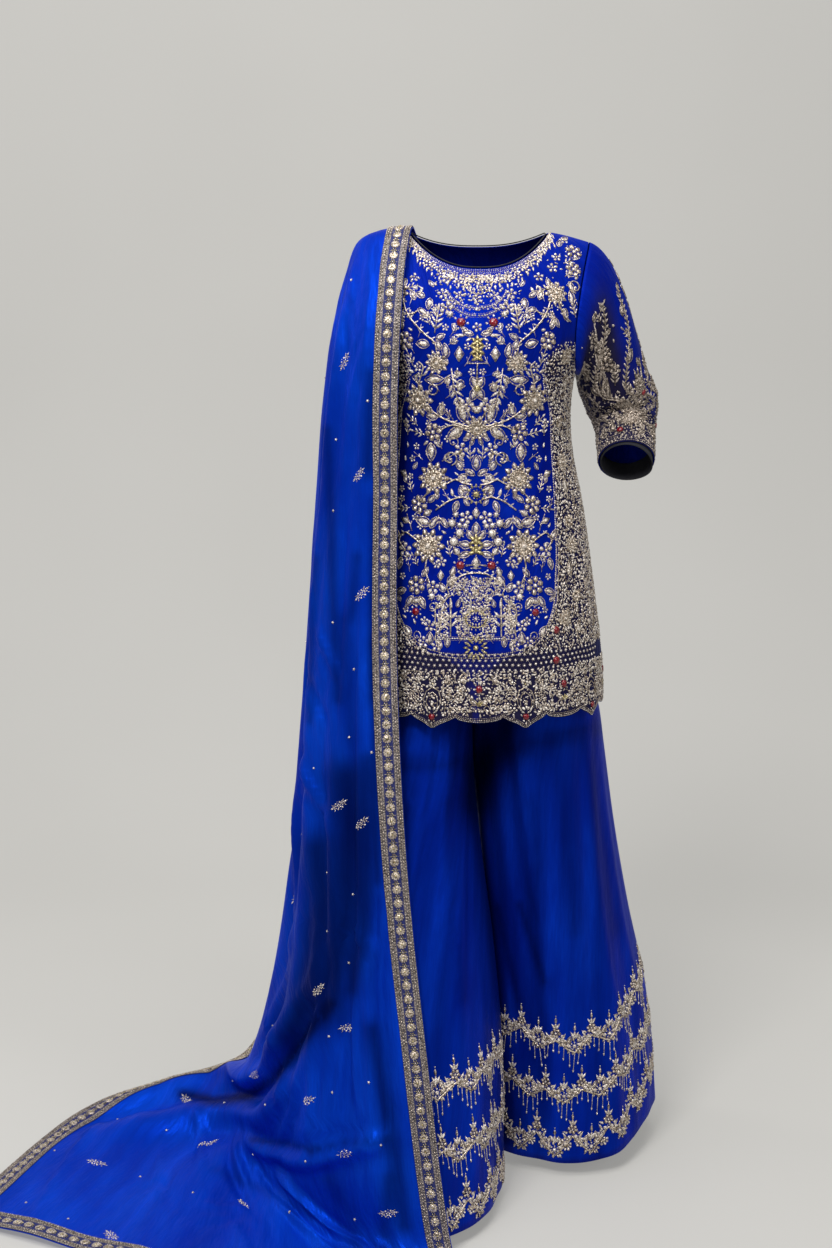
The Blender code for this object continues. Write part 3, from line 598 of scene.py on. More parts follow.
SILK = cloth_look("satin_silk", (0.0010, 0.0150, 0.310), (0.0018, 0.0360, 0.500), 0.33, sheen=0.05, gloss=0.45, painted_streak_shade=0.55)
GROUND = cloth_look("kurti_silk", (0.0010, 0.0065, 0.190), (0.0016, 0.0170, 0.310), 0.50, sheen=0.08, crinkle=0.6, gloss=0.20)
CREPE = cloth_look("dupatta_silk", (0.0014, 0.0290, 0.440), (0.0024, 0.0620, 0.660), 0.38, sheen=0.06, crinkle=0.5, veil=0.06, gloss=0.35, painted_streak_shade=0.25)
NAVY = dull_look("band_net", (0.0030, 0.0060, 0.060), (0.0050, 0.0120, 0.130), 0.75)
BLACK = dull_look("lining_cotton", (0.006, 0.006, 0.010), (0.014, 0.014, 0.020), 0.85)
SILVER = thread_look("champagne_thread", (0.98, 0.85, 0.71), (0.27, 0.185, 0.115), 0.32, 0.70)
PEARL = thread_look("pearl_beads", (1.0, 0.93, 0.85), (0.44, 0.33, 0.25), 0.25, 0.22, 520)
GOLD = thread_look("gold_thread", (0.84, 0.72, 0.38), (0.26, 0.19, 0.07), 0.30, 0.72)
WOVEN = thread_look("stripe_thread", (0.31, 0.27, 0.26), (0.040, 0.034, 0.050), 0.45, 0.50, 620)
RED = stone_look("red_stones", (0.230, 0.0035, 0.012), 0.22)
METALS = [SILVER, PEARL, GOLD, RED]
# the sleeves' thread and beads are darker copies of the silver and pearl, painted shade for sleeves that hang in
# shadow; the borders are worked in duller thread
SHADED_SLEEVE_METALS = [thread_look("sleeve_thread", (0.60, 0.51, 0.43), (0.14, 0.10, 0.075), 0.36, 0.70), thread_look("sleeve_beads", (0.66, 0.57, 0.49), (0.22, 0.17, 0.13), 0.28, 0.22, 520), GOLD, RED]
BAND_METALS = [thread_look("border_thread", (0.84, 0.73, 0.62), (0.20, 0.145, 0.10), 0.34, 0.70), thread_look("border_beads", (0.88, 0.78, 0.69), (0.34, 0.26, 0.20), 0.26, 0.22, 520), GOLD, RED]
SILVERS, PEARLS, GOLDS, REDS = range(4)

# ---------------------------------------------------------------- cloth shells


def mesh_of(name, points, faces, materials, indices=None, smooth=True):
    mesh = bpy.data.meshes.new(name)
    faces = np.asarray(faces, np.int32)
    corners = faces.shape[1]
    mesh.vertices.add(len(points))
    mesh.vertices.foreach_set("co", np.asarray(points, np.float32).ravel())
    mesh.loops.add(faces.size)
    mesh.loops.foreach_set("vertex_index", faces.ravel())
    mesh.polygons.add(len(faces))
    mesh.polygons.foreach_set("loop_start", np.arange(0, faces.size, corners, dtype=np.int32))

    if indices is not None:
        mesh.polygons.foreach_set("material_index", np.asarray(indices, np.int32))
    mesh.polygons.foreach_set("use_smooth", np.full(len(faces), smooth))
    mesh.update(calc_edges=True)
    for material in materials:
        mesh.materials.append(material)
    piece = bpy.data.objects.new(name, mesh)
    bpy.context.scene.collection.objects.link(piece)
    return piece


def metres(points):
    """How far along its rows and columns each point of a grid lies, in metres."""
    across = np.linalg.norm(np.diff(points, axis=1), axis=-1)
    along = np.linalg.norm(np.diff(points, axis=0), axis=-1)
    u = np.concatenate([np.zeros((points.shape[0], 1)), np.cumsum(across, axis=1)], axis=1)
    v = np.concatenate([np.zeros((1, points.shape[1])), np.cumsum(along, axis=0)], axis=0)
    return u, v


def shell(name, points, wall, material, closed=False, worked=None, second=None, hollow=None):
    """One closed sheet of cloth on a grid of points, with its thickness to both sides. closed joins its last column to its first."""
    points = np.array(points, float)
    points[..., 2] -= SHOULDER_HEIGHT
    u, v = metres(points)
    facing = normals(points)
    if closed:
        # the seam's normals agree on both sides
        seam = unit(facing[:, 0] + facing[:, -1])
        facing[:, 0] = facing[:, -1] = seam
        points, facing, u, v = points[:, :-1], facing[:, :-1], u[:, :-1], v[:, :-1]
        if worked is not None:
            worked = worked[:, :-1]
    rows, cols = points.shape[:2]
    top, under = points + facing * wall / 2, points - facing * wall / 2
    at = np.arange(rows * cols).reshape(rows, cols)
    wrap = (lambda a: np.concatenate([a, a[:, :1]], axis=1)) if closed else (lambda a: a)
    w = wrap(at)
    a, b, c, d = w[:-1, :-1], w[:-1, 1:], w[1:, 1:], w[1:, :-1]
    upper = np.stack([a, b, c, d], -1).reshape(-1, 4)
    n = rows * cols
    lower = upper[:, ::-1] + n
    rim = []
    for line in (w[0], w[-1][::-1]) + (() if closed else (w[::-1, 0], w[:, -1])):
        rim.append(np.stack([line[:-1], line[:-1] + n, line[1:] + n, line[1:]], -1))
    faces = np.concatenate([upper, lower] + rim)
    indices = None
    if second is not None:
        indices = np.concatenate([second(upper, u, v, cols), np.zeros(len(faces) - len(upper), int)])
    piece = mesh_of(name, np.concatenate([top.reshape(-1, 3), under.reshape(-1, 3)]), faces, material if isinstance(material, list) else [material], indices)
    layer = piece.data.uv_layers.new(name="cloth")
    pairs = np.stack([u.ravel(), v.ravel()], -1)
    layer.data.foreach_set("uv", np.concatenate([pairs, pairs])[faces.ravel()].astype(np.float32).ravel())
    # these attributes darken the cloth's colour: one gives the dark ground under dense work with painted shade, the
    # other is painted shade in the folds, on the outer face only
    for field, values in (("worked", worked), ("hollow", hollow)):
        if values is not None:
            mask = piece.data.attributes.new(field, "FLOAT", "POINT")
            flat = np.asarray(values, np.float32).ravel()
            mask.data.foreach_set("value", np.concatenate([flat, flat * (field == "hollow")]))
    return piece


# ---------------------------------------------------------------- needlework


class Chart:
    """A cloth surface that needlework is laid on. Places are (row, column) numbers of its grid, with fractions."""

    def __init__(self, points, wrap=False, out=1.0, up="world"):
        self.p = np.array(points, float)
        self.p[..., 2] -= SHOULDER_HEIGHT
        self.n = normals(self.p) * out
        if wrap:
            seam = unit(self.n[:, 0] + self.n[:, -1])
            self.n[:, 0] = self.n[:, -1] = seam
        self.di, self.dj = np.gradient(self.p, axis=0), np.gradient(self.p, axis=1)
        self.wrap, self.up = wrap, up
        self.rows, self.cols = self.p.shape[:2]
        self.u, self.v = metres(self.p)

    def read(self, field, i, j):
        i = np.clip(i, 0, self.rows - 1.001)
        j = np.mod(j, self.cols - 1) if self.wrap else np.clip(j, 0, self.cols - 1.001)
        i0, j0 = np.floor(i).astype(int), np.floor(j).astype(int)
        fi, fj = (i - i0)[..., None], (j - j0)[..., None]
        a = field[i0, j0] * (1 - fj) + field[i0, j0 + 1] * fj
        b = field[i0 + 1, j0] * (1 - fj) + field[i0 + 1, j0 + 1] * fj
        return a * (1 - fi) + b * fi

    def find(self, x, z, front=True):
        """Places seen at (x, z) from the front or the back, heights above the floor."""
        x, z = np.broadcast_arrays(np.atleast_1d(np.asarray(x, float)), np.atleast_1d(np.asarray(z, float)))
        z = z - SHOULDER_HEIGHT
        shut = (self.n[..., 1] * (1 if front else -1) > 0.15) * 9.0
        i, j = np.empty(x.shape), np.empty(x.shape)
        for k in range(len(x)):
            away = (self.p[..., 0] - x[k]) ** 2 + (self.p[..., 2] - z[k]) ** 2 + shut
            i[k], j[k] = divmod(int(np.argmin(away)), self.cols)
        for _ in range(3):
            p, di, dj = self.read(self.p, i, j), self.read(self.di, i, j), self.read(self.dj, i, j)
            ex, ez = x - p[:, 0], z - p[:, 2]
            det = dj[:, 0] * di[:, 2] - di[:, 0] * dj[:, 2]
            det = np.where(np.abs(det) < 1e-9, 1e-9, det)
            step_j = np.clip((ex * di[:, 2] - ez * di[:, 0]) / det, -1, 1)
            step_i = np.clip((dj[:, 0] * ez - dj[:, 2] * ex) / det, -1, 1)
            i, j = np.clip(i + step_i, 0, self.rows - 1), np.clip(j + step_j, 0, self.cols - 1)
        return i, j

    def shift(self, i, j, dx, dy):
        """Places dx to the right and dy up on the cloth from others, in metres."""
        p_i, p_j, n = self.read(self.di, i, j), self.read(self.dj, i, j), unit(self.read(self.n, i, j))
        if self.up == "world":
            up = np.array([0.0, 0.0, 1.0]) - n * n[..., 2:3]
        else:
            up = p_i * self.up
        up = unit(up - n * (up * n).sum(-1, keepdims=True))
        right = np.cross(up, n)
        shape = np.broadcast(dx, i[..., None] if np.ndim(dx) > np.ndim(i) else i).shape
        if len(shape) > np.ndim(i):
            p_i, p_j, up, right = p_i[..., None, :], p_j[..., None, :], up[..., None, :], right[..., None, :]
            i, j = i[..., None], j[..., None]
        w = right * np.asarray(dx)[..., None] + up * np.asarray(dy)[..., None]
        jj, ii, ij = (p_j * p_j).sum(-1), (p_i * p_i).sum(-1), (p_i * p_j).sum(-1)
        rj, ri = (p_j * w).sum(-1), (p_i * w).sum(-1)
        det = np.maximum(jj * ii - ij * ij, 1e-16)
        return i + (jj * ri - ij * rj) / det, j + (ii * rj - ij * ri) / det


class Work:
    """Needlework gathered into one mesh."""

    def __init__(self, name):
        self.name, self.points, self.faces, self.metal, self.count = name, [], [], [], 0

    def add(self, points, faces, metal):
        self.points.append(points)
        self.faces.append(faces + self.count)
        self.metal.append(metal)
        self.count += len(points)

    def put(self, chart, i, j, shape, turn=0.0, size=1.0, mirror=1.0, lift=0.0007):
        """Lays one shape at each place. turn is in degrees from the right, and mirror -1 flips it over."""
        i, j = np.atleast_1d(np.asarray(i, float)), np.atleast_1d(np.asarray(j, float))
        v, f, m = shape
        n = len(i)
        turn = np.broadcast_to(np.radians(turn), (n,))[:, None]
        size = np.broadcast_to(size, (n,))[:, None]
        mirror = np.broadcast_to(mirror, (n,))[:, None]
        a, b = v[None, :, 0] * size, v[None, :, 1] * size
        dx = (a * np.cos(turn) - b * np.sin(turn)) * mirror
        dy = a * np.sin(turn) + b * np.cos(turn)
        vi, vj = chart.shift(i, j, dx, dy)
        p = chart.read(chart.p, vi, vj) + unit(chart.read(chart.n, vi, vj)) * (lift + v[None, :, 2] * size)[..., None]
        faces = f[None] + (np.arange(n) * len(v))[:, None, None]
        flipped = (mirror[:, 0] < 0)
        faces[flipped] = faces[flipped][:, :, ::-1]
        self.add(p.reshape(-1, 3), faces.reshape(-1, 3), np.tile(m, n))

    def line(self, chart, i, j, radius, metal=SILVERS, lift=0.0007, sides=4):
        """A cord laid along places of the cloth."""
        i, j = np.asarray(i, float), np.asarray(j, float)
        p, n = chart.read(chart.p, i, j), unit(chart.read(chart.n, i, j))
        t = unit(np.gradient(p, axis=0))
        b = np.cross(n, t)
        around = 2 * np.pi * (np.arange(sides) + 0.5) / sides
        ring = p[:, None] + n[:, None] * (lift + radius * 0.5) + radius * (np.cos(around)[None, :, None] * b[:, None] + np.sin(around)[None, :, None] * n[:, None])
        k = len(p)
        at = np.arange(k * sides).reshape(k, sides)
        nxt = np.roll(at, -1, axis=1)
        a, c, d, e = at[:-1], nxt[:-1], nxt[1:], at[1:]
        faces = np.concatenate([np.stack([a, c, d], -1).reshape(-1, 3), np.stack([a, d, e], -1).reshape(-1, 3)])
        caps = [(at[0, 0], at[0, s + 1], at[0, s]) for s in range(1, sides - 1)] + [(at[-1, 0], at[-1, s], at[-1, s + 1]) for s in range(1, sides - 1)]
        faces = np.concatenate([faces, np.array(caps)])[:, ::-1]
        self.add(ring.reshape(-1, 3), faces, np.full(len(faces), metal))

    def beads(self, chart, i, j, pitch, shape, turn=None, size=1.0, jitter=0.0, lift=0.0007):
        """The same shape again and again along places of the cloth, pitch metres apart."""
        i, j = np.asarray(i, float), np.asarray(j, float)
        p = chart.read(chart.p, i, j)
        run = np.concatenate([[0], np.cumsum(np.linalg.norm(np.diff(p, axis=0), axis=1))])
        places = np.arange(pitch / 2, run[-1], pitch)
        if not len(places):
            return
        bi, bj = np.interp(places, run, i), np.interp(places, run, j)
        if turn is None:
            # along the line
            q, r = chart.read(chart.p, bi, bj), np.stack([np.interp(places + pitch / 4, run, p[:, k]) for k in range(3)], -1)
            n = unit(chart.read(chart.n, bi, bj))
            up = (np.array([0.0, 0.0, 1.0]) - n * n[:, 2:3]) if chart.up == "world" else chart.read(chart.di, bi, bj) * chart.up
            up = unit(up - n * (up * n).sum(-1, keepdims=True))
            right = np.cross(up, n)
            step = r - q
            turn = np.degrees(np.arctan2((step * up).sum(-1), (step * right).sum(-1)))
        if jitter:
            bi, bj = chart.shift(bi, bj, CHANCE.normal(0, jitter, len(bi)), CHANCE.normal(0, jitter, len(bi)))
        self.put(chart, bi, bj, shape, turn, size, lift=lift)

    def piece(self):
        made = mesh_of(self.name, np.concatenate(self.points), np.concatenate(self.faces), {"sleeve": SHADED_SLEEVE_METALS, "band_": BAND_METALS}.get(self.name[:6] if self.name[:6] == "sleeve" else self.name[:5], METALS), np.concatenate(self.metal))
        return made


def curve(points, count=40):
    """A smooth line through points in the plane."""
    points = np.asarray(points, float)
    run = np.concatenate([[0], np.cumsum(np.linalg.norm(np.diff(points, axis=0), axis=1))])
    slope = np.gradient(points, run, axis=0)
    at = np.linspace(0, run[-1], count)
    k = np.clip(np.searchsorted(run, at, side="right") - 1, 0, len(run) - 2)
    step = (run[k + 1] - run[k])[:, None]
    t = (at - run[k])[:, None] / step
    return (2 * t**3 - 3 * t**2 + 1) * points[k] + (t**3 - 2 * t**2 + t) * step * slope[k] + (3 * t**2 - 2 * t**3) * points[k + 1] + (t**3 - t**2) * step * slope[k + 1]


# Shapes, in metres: points (along, across, height), faces and their metal -----


def turned(shape, at=(0, 0), turn=0.0, rise=0.0):
    v, f, m = shape
    c, s = math.cos(math.radians(turn)), math.sin(math.radians(turn))
    w = np.stack([v[:, 0] * c - v[:, 1] * s + at[0], v[:, 0] * s + v[:, 1] * c + at[1], v[:, 2] + rise], -1)
    return w, f, m


def together(shapes):
    points, faces, metal, count = [], [], [], 0
    for v, f, m in shapes:
        points.append(v)
        faces.append(f + count)
        metal.append(m)
        count += len(v)
    return np.concatenate(points), np.concatenate(faces), np.concatenate(metal)


def fan(outline, tops, height, metal):
    """A closed low body: an outline on the cloth, a ring of top points inside it and a flat base."""
    n = len(outline)
    outline, tops = np.asarray(outline, float), np.asarray(tops, float)
    v = np.concatenate([np.c_[outline, np.full(n, -0.0002)], np.c_[tops, np.full(len(tops), height)]])
    if len(tops) == 1:
        f = [(k, (k + 1) % n, n) for k in range(n)]
    else:
        f = []
        for k in range(n):
            l = (k + 1) % n
            f += [(k, l, n + l), (k, n + l, n + k)]
        f += [(n, n + k, n + k + 1) for k in range(1, n - 1)]
    f += [(0, k + 1, k) for k in range(1, n - 1)]
    return v, np.array(f), np.full(len(f), metal)


def dot(r, metal=PEARLS, sides=5, high=0.8):
    a = 2 * np.pi * np.arange(sides) / sides
    return fan(np.c_[np.cos(a), np.sin(a)] * r, [(0, 0)], r * high, metal)


def dome(r, metal=PEARLS, sides=7, high=0.7):
    a = 2 * np.pi * np.arange(sides) / sides
    ring = np.c_[np.cos(a), np.sin(a)]
    v = np.concatenate([np.c_[ring * r, np.full(sides, -0.0002)], np.c_[ring * r * 0.66, np.full(sides, r * high * 0.72)], [[0, 0, r * high]]])
    f = []
    for k in range(sides):
        l = (k + 1) % sides
        f += [(k, l, sides + l), (k, sides + l, sides + k), (sides + k, sides + l, 2 * sides)]
    f += [(0, k + 1, k) for k in range(1, sides - 1)]
    return v, np.array(f), np.full(len(f), metal)


def leaf(length, width, metal=SILVERS, high=0.30, base=0.0):
    """A pointed leaf from its stalk at 0 along +a, raised along its middle."""
    w = width / 2
    outline = [(base, 0), (base + length * 0.30, -w * 0.92), (base + length * 0.62, -w * 0.80), (base + length, 0), (base + length * 0.62, w * 0.80), (base + length * 0.30, w * 0.92)]
    v = np.array([(a, b, -0.0002) for a, b in outline] + [(base + length * 0.25, 0, width * high), (base + length * 0.68, 0, width * high * 0.85)])
    f = [(0, 1, 6), (1, 2, 7), (1, 7, 6), (2, 3, 7), (3, 4, 7), (4, 5, 6), (4, 6, 7), (5, 0, 6), (0, 2, 1), (0, 3, 2), (0, 4, 3), (0, 5, 4)]
    return v, np.array(f), np.full(len(f), metal)


def petal(length, width, metal=SILVERS, high=0.28, base=0.0):
    """A petal, broadest towards its tip."""
    w = width / 2
    outline = [(base, 0), (base + length * 0.45, -w * 0.85), (base + length * 0.80, -w * 0.80), (base + length, 0), (base + length * 0.80, w * 0.80), (base + length * 0.45, w * 0.85)]
    v = np.array([(a, b, -0.0002) for a, b in outline] + [(base + length * 0.40, 0, width * high * 0.7), (base + length * 0.76, 0, width * high)])
    f = [(0, 1, 6), (1, 2, 7), (1, 7, 6), (2, 3, 7), (3, 4, 7), (4, 5, 6), (4, 6, 7), (5, 0, 6), (0, 2, 1), (0, 3, 2), (0, 4, 3), (0, 5, 4)]
    return v, np.array(f), np.full(len(f), metal)


def wire(points, radius, metal=SILVERS, sides=3):
    """A cord in the plane of a shape."""
    p = np.asarray(points, float)
    t = np.gradient(p, axis=0)
    t /= np.maximum(np.linalg.norm(t, axis=1, keepdims=True), 1e-9)
    b = np.c_[-t[:, 1], t[:, 0]]
    rings = []
    for c, h in ((1, -0.0001), (-1, -0.0001), (0, 1.5 * radius)) if sides == 3 else ((1, -0.0001), (-1, -0.0001), (-0.7, 1.2 * radius), (0.7, 1.2 * radius)):
        rings.append(np.c_[p + b * c * radius, np.full(len(p), h)])
    v = np.stack(rings, 1)
    k = len(p)
    at = np.arange(k * sides).reshape(k, sides)
    nxt = np.roll(at, -1, axis=1)
    a, c, d, e = at[:-1], nxt[:-1], nxt[1:], at[1:]
    f = np.concatenate([np.stack([a, c, d], -1).reshape(-1, 3), np.stack([a, d, e], -1).reshape(-1, 3)])
    caps = [(at[0, 0], at[0, s + 1], at[0, s]) for s in range(1, sides - 1)] + [(at[-1, 0], at[-1, s], at[-1, s + 1]) for s in range(1, sides - 1)]
    f = np.concatenate([f, np.array(caps)])
    return v.reshape(-1, 3), f, np.full(len(f), metal)


def ringed(count, radius, shape, first=0.0):
    """A shape again and again round a centre, pointing outwards."""
    return [turned(shape, (radius * math.cos(a), radius * math.sin(a)), math.degrees(a)) for a in (math.radians(first) + 2 * math.pi * k / count for k in range(count))]


def rosette(r, metal=SILVERS, heart=PEARLS, petals=10):
    """A full round flower: pointed outer petals, beaded rings and a raised heart."""
    k = r / 0.019
    return together(
        [dome(r * 0.64, metal, 12, 0.07)]
        + ringed(petals, r * 0.56, leaf(r * 0.48, r * 0.42, metal, 0.32))
        + ringed(petals, r * 0.66, dot(r * 0.10, PEARLS), 180 / petals)
        + [turned(s, rise=r * 0.02) for s in ringed(14, r * 0.56, dot(r * 0.105, PEARLS))]
        + [turned(s, rise=r * 0.035) for s in ringed(9, r * 0.19, petal(r * 0.34, r * 0.26, metal, 0.55), 12)]
        + [turned(s, rise=r * 0.04) for s in ringed(9, r * 0.36, dot(r * 0.075, PEARLS), 32)]
        + [turned(dome(r * 0.17, heart, 7, 0.9), rise=r * 0.05)]
        + [wire([(r * 0.52 * math.cos(a), r * 0.52 * math.sin(a)) for a in np.linspace(0, 2 * math.pi, 19)], 0.0007 * k, metal)]
    )


def flower(r, metal=PEARLS, heart=SILVERS, petals=5, first=18.0):
    """A small open flower."""
    return together(ringed(petals, r * 0.16, petal(r * 0.84, r * 0.80, metal, 0.26), first) + [dome(r * 0.24, heart, 6, 1.0)] + ringed(petals, r * 0.62, dot(r * 0.09, SILVERS), first))


def plain_flower(r, metal=PEARLS, heart=SILVERS, petals=5):
    """The same for work that repeats many times."""
    return together(ringed(petals, r * 0.14, petal(r * 0.86, r * 0.84, metal, 0.28), 18.0) + [dot(r * 0.26, heart, 6, 1.0)])


def big_leaf(length, width, metal=PEARLS):
    """A leaf outlined with cord and filled with beads."""
    t = np.linspace(0, 1, 9)
    half = width / 2 * np.sin(np.pi * t**0.85) ** 0.9
    outline = np.concatenate([np.c_[t * length, half], np.c_[t * length, -half][::-1][1:]])
    inside = [turned(dot(width * 0.085, SILVERS, 4), (length * q, 0)) for q in (0.2, 0.34, 0.48, 0.62, 0.76)]
    return together([leaf(length * 0.94, width * 0.86, metal, 0.16, length * 0.03), wire(outline, 0.00065, SILVERS)] + [turned(s, rise=width * 0.10) for s in inside])


def curl(r, metal=SILVERS):
    """A spiral tendril with a bead at its heart."""
    a = np.linspace(0, 1, 15)
    turn = a * 2 * math.pi * 1.15
    rad = r * (1 - 0.72 * a)
    return together([wire(np.c_[r - rad * np.cos(turn) - (r - rad) * 0.4, rad * np.sin(turn)], r * 0.11, metal), turned(dot(r * 0.24, PEARLS), (r * 0.75, 0))])


def sprig(length, pairs, leaf_length, metal=PEARLS, spread=42.0, stem=0.0006):
    """A stalk with paired leaflets and one at its tip."""
    parts = [wire([(0, 0), (length * 0.5, 0), (length, 0)], stem, SILVERS)]
    for k in range(pairs):
        at = length * (0.18 + 0.78 * k / max(pairs, 1))
        for s in (1, -1):
            parts.append(turned(leaf(leaf_length * (1 - 0.25 * k / pairs), leaf_length * 0.34, metal, 0.3), (at, 0), s * spread))
    parts.append(turned(leaf(leaf_length, leaf_length * 0.36, metal, 0.3), (length * 0.96, 0)))
    return together(parts)


def stone(r, petals=7):
    """A red stone in a claw of white petals."""
    a = 2 * np.pi * np.arange(8) / 8
    ring = np.c_[np.cos(a), np.sin(a)]
    red = fan(ring * r * 1.22, ring * r * 0.80, r * 0.50, REDS)
    return together([red] + ringed(petals, r * 1.16, petal(r * 0.90, r * 0.85, PEARLS, 0.3), 90) + ringed(petals, r * 1.1, dot(r * 0.16, SILVERS), 90 + 180 / petals))


def medallion(r, tall, metal=SILVERS):
    """An oval jewel: ring on ring of beads round a raised heart, in a border of small leaves."""
    parts = []
    for count, q, shape in ((20, 0.94, leaf(r * 0.24, r * 0.17, PEARLS, 0.45)), (18, 0.74, dome(r * 0.11, metal, 6, 0.9)), (14, 0.55, dome(r * 0.10, PEARLS, 6, 0.9)), (10, 0.38, petal(r * 0.20, r * 0.15, metal, 0.6)), (7, 0.24, dot(r * 0.08, PEARLS))):
        for k in range(count):
            a = 2 * math.pi * k / count
            parts.append(turned(shape, (q * r * math.cos(a), q * tall * math.sin(a)), math.degrees(math.atan2(math.sin(a) * r, math.cos(a) * tall))))
    ringline = [(0.82 * r * math.cos(a), 0.82 * tall * math.sin(a)) for a in np.linspace(0, 2 * math.pi, 25)]
    parts += [wire(ringline, 0.0008, metal), dome(r * 0.17, PEARLS, 8, 1.0)]
    return together(parts)

# ---------------------------------------------------------------- cloth pieces


def lifted(points, amount):
    return points + normals(points) * np.asarray(amount)[..., None]


def ridge(distance, width):
    """A soft fold with a rounder top than foot."""
    return np.exp(-((distance / width) ** 2))


def crease(u, v, a, b, width, depth, sharp=0.0):
    """A fold along the line from a to b on the cloth, in metres, dying out at its ends. sharp leans it to one side."""
    a, b = np.array(a, float), np.array(b, float)
    length = np.hypot(*(b - a))
    t = (b - a) / length
    along = (u - a[0]) * t[0] + (v - a[1]) * t[1]
    off = (u - a[0]) * -t[1] + (v - a[1]) * t[0]
    fade = ease(-0.15 * length, 0.30 * length, along) * (1 - ease(0.70 * length, 1.15 * length, along))
    lean = np.where(off > 0, off / (1 + sharp), off * (1 + sharp))
    return depth * fade * (ridge(lean, width) - 0.35 * ridge(np.abs(off) - 1.9 * width, width))


FINE = 1.0


def many(count):
    return max(8, int(count * FINE))


# Kurti
FRONT_U = np.linspace(-1, 1, many(132))
FRONT_V = np.concatenate([np.linspace(0, 0.05, 7)[:-1], np.linspace(0.05, PIT_ROW, many(56))[:-1], np.linspace(PIT_ROW, 1, many(41))])
FRONT_V[-1] -= 0.0012
SIDE_EDGE = [
    # height  half width of the blue centre
    (0.800, 0.000),
    (0.856, 0.040),
    (0.872, 0.077),
    (0.889, 0.098),
    (0.912, 0.111),
    (0.960, 0.117),
    (1.050, 0.116),
    (1.200, 0.107),
    (1.290, 0.104),
    (1.330, 0.150),
    (1.470, 0.200),
]
AXIS = -0.005  # the embroidery's centre line
DENSE_FOOT = 0.861


def dense_share(x, z):
    """How thickly worked the kurti's front is at a place: 1 in the side bands and the hem."""
    edge = smooth(SIDE_EDGE, ("height", "half"), "half", z)
    side = ease(edge - 0.002, edge + 0.006, np.abs(x - AXIS)) * (1 - ease(1.275, 1.325, z))
    hem = 1 - ease(DENSE_FOOT - 0.004, DENSE_FOOT + 0.004, z)
    return np.maximum(side, hem * 0.65)


def softened(points, side):
    """The body panels' shallow dents: across the waist, from the bust and towards the slits."""
    u, v = metres(points)
    middle = u - u[:, -1:] / 2
    dents = np.zeros(u.shape)
    for a, b, width, depth in (
        ((-0.10, 0.34), (0.02, 0.30), 0.016, 0.0016),
        ((0.11, 0.33), (-0.01, 0.27), 0.015, 0.0014),
        ((0.15, 0.45), (0.06, 0.40), 0.014, 0.0018),
        ((-0.15, 0.46), (-0.05, 0.41), 0.014, 0.0016),
        ((0.19, 0.10), (0.17, 0.32), 0.018, 0.0020),
        ((-0.19, 0.08), (-0.17, 0.30), 0.018, 0.0020),
        ((0.09, 0.02), (0.07, 0.22), 0.022, 0.0016),
        ((-0.06, 0.02), (-0.07, 0.20), 0.022, 0.0015),
    ):
        dents += crease(middle, v, a, b, width, depth * side)
    edge = np.minimum(ease(0.0, 0.06, u), ease(0.0, 0.06, u[:, -1:] - u)) * ease(0.0, 0.02, v)
    return lifted(points, dents * edge)


front_points = softened(kurti(*np.meshgrid(FRONT_U, FRONT_V), -1), 1.0)
back_points = softened(kurti(*np.meshgrid(np.linspace(-1, 1, many(72)), FRONT_V), 1), 1.0)
front_share = dense_share(front_points[..., 0], front_points[..., 2])
# the dense side bands and the hem get a dark ground, partly painted shade between the close-set beads
kurti_front = shell("kurti_front_cloth", front_points, CLOTH, GROUND, worked=front_share * 0.9)
kurti_back = shell("kurti_back_cloth", back_points, CLOTH, GROUND)

# Sleeves, with soft wrinkles at the elbow
TURNS = np.linspace(0, 1, many(64) + 1)
RUNS = np.concatenate([np.linspace(0, 0.42, many(30))[:-1], np.linspace(0.42, 1, many(54))])


def sleeve_points(hand, table):
    turn, run = np.meshgrid(TURNS, RUNS)
    p = sleeve(turn, run, hand, table) + np.array([hand * 0.0018, 0, 0])
    wave = np.zeros(turn.shape)
    for at, place, size, tilt in ((0.50, 0.30, 0.0022, 0.25), (0.57, 0.10, 0.0024, -0.2), (0.65, 0.72, 0.0024, 0.2), (0.73, 0.22, 0.0018, -0.15), (0.60, 0.52, 0.0020, 0.3), (0.30, 0.25, 0.0016, 0.3), (0.22, 0.62, 0.0014, -0.3)):
        off = (turn - place + 0.5) % 1.0 - 0.5
        wave += size * ridge(run - at - tilt * off * 0.4, 0.022) * ridge(off, 0.16)
    facing = normals(p)
    outward = np.sign((facing * (p - p.mean(axis=1, keepdims=True))).sum(-1, keepdims=True))
    seam = unit(facing[:, 0] + facing[:, -1])
    facing[:, 0] = facing[:, -1] = seam
    return p + facing * np.median(outward) * (wave * ease(0.05, 0.2, run) * (1 - ease(0.9, 1.0, run)))[..., None]


left_points, right_points = sleeve_points(1.0, LEFT_SLEEVE), sleeve_points(-1.0, RIGHT_SLEEVE)


# How far the sleeve's blue is darkened: the dark ground under its work with painted shade on the under side and over
# the lower arm, and a bluer strip left on the outer front
def sleeve_ground_and_shade(run, turn):
    inner = 1 - ease(0.20, 0.32, np.abs((turn - 0.44 + 0.5) % 1.0 - 0.5))
    blue = 0.50 * ridge((turn - 0.10 + 0.5) % 1.0 - 0.5, 0.07) * (1 - ease(0.66, 0.80, run))
    return np.clip(np.maximum(ease(0.03, 0.18, run) * inner * 0.96, ease(0.24, 0.46, run) * (0.93 - blue)), 0, 0.93)


turn_grid, run_grid = np.meshgrid(TURNS, RUNS)
sleeve_left = shell("sleeve_left_cloth", left_points, CLOTH, GROUND, closed=True, worked=sleeve_ground_and_shade(run_grid, turn_grid))
sleeve_right = shell("sleeve_right_cloth", right_points, CLOTH, GROUND, closed=True, worked=sleeve_ground_and_shade(run_grid, turn_grid))

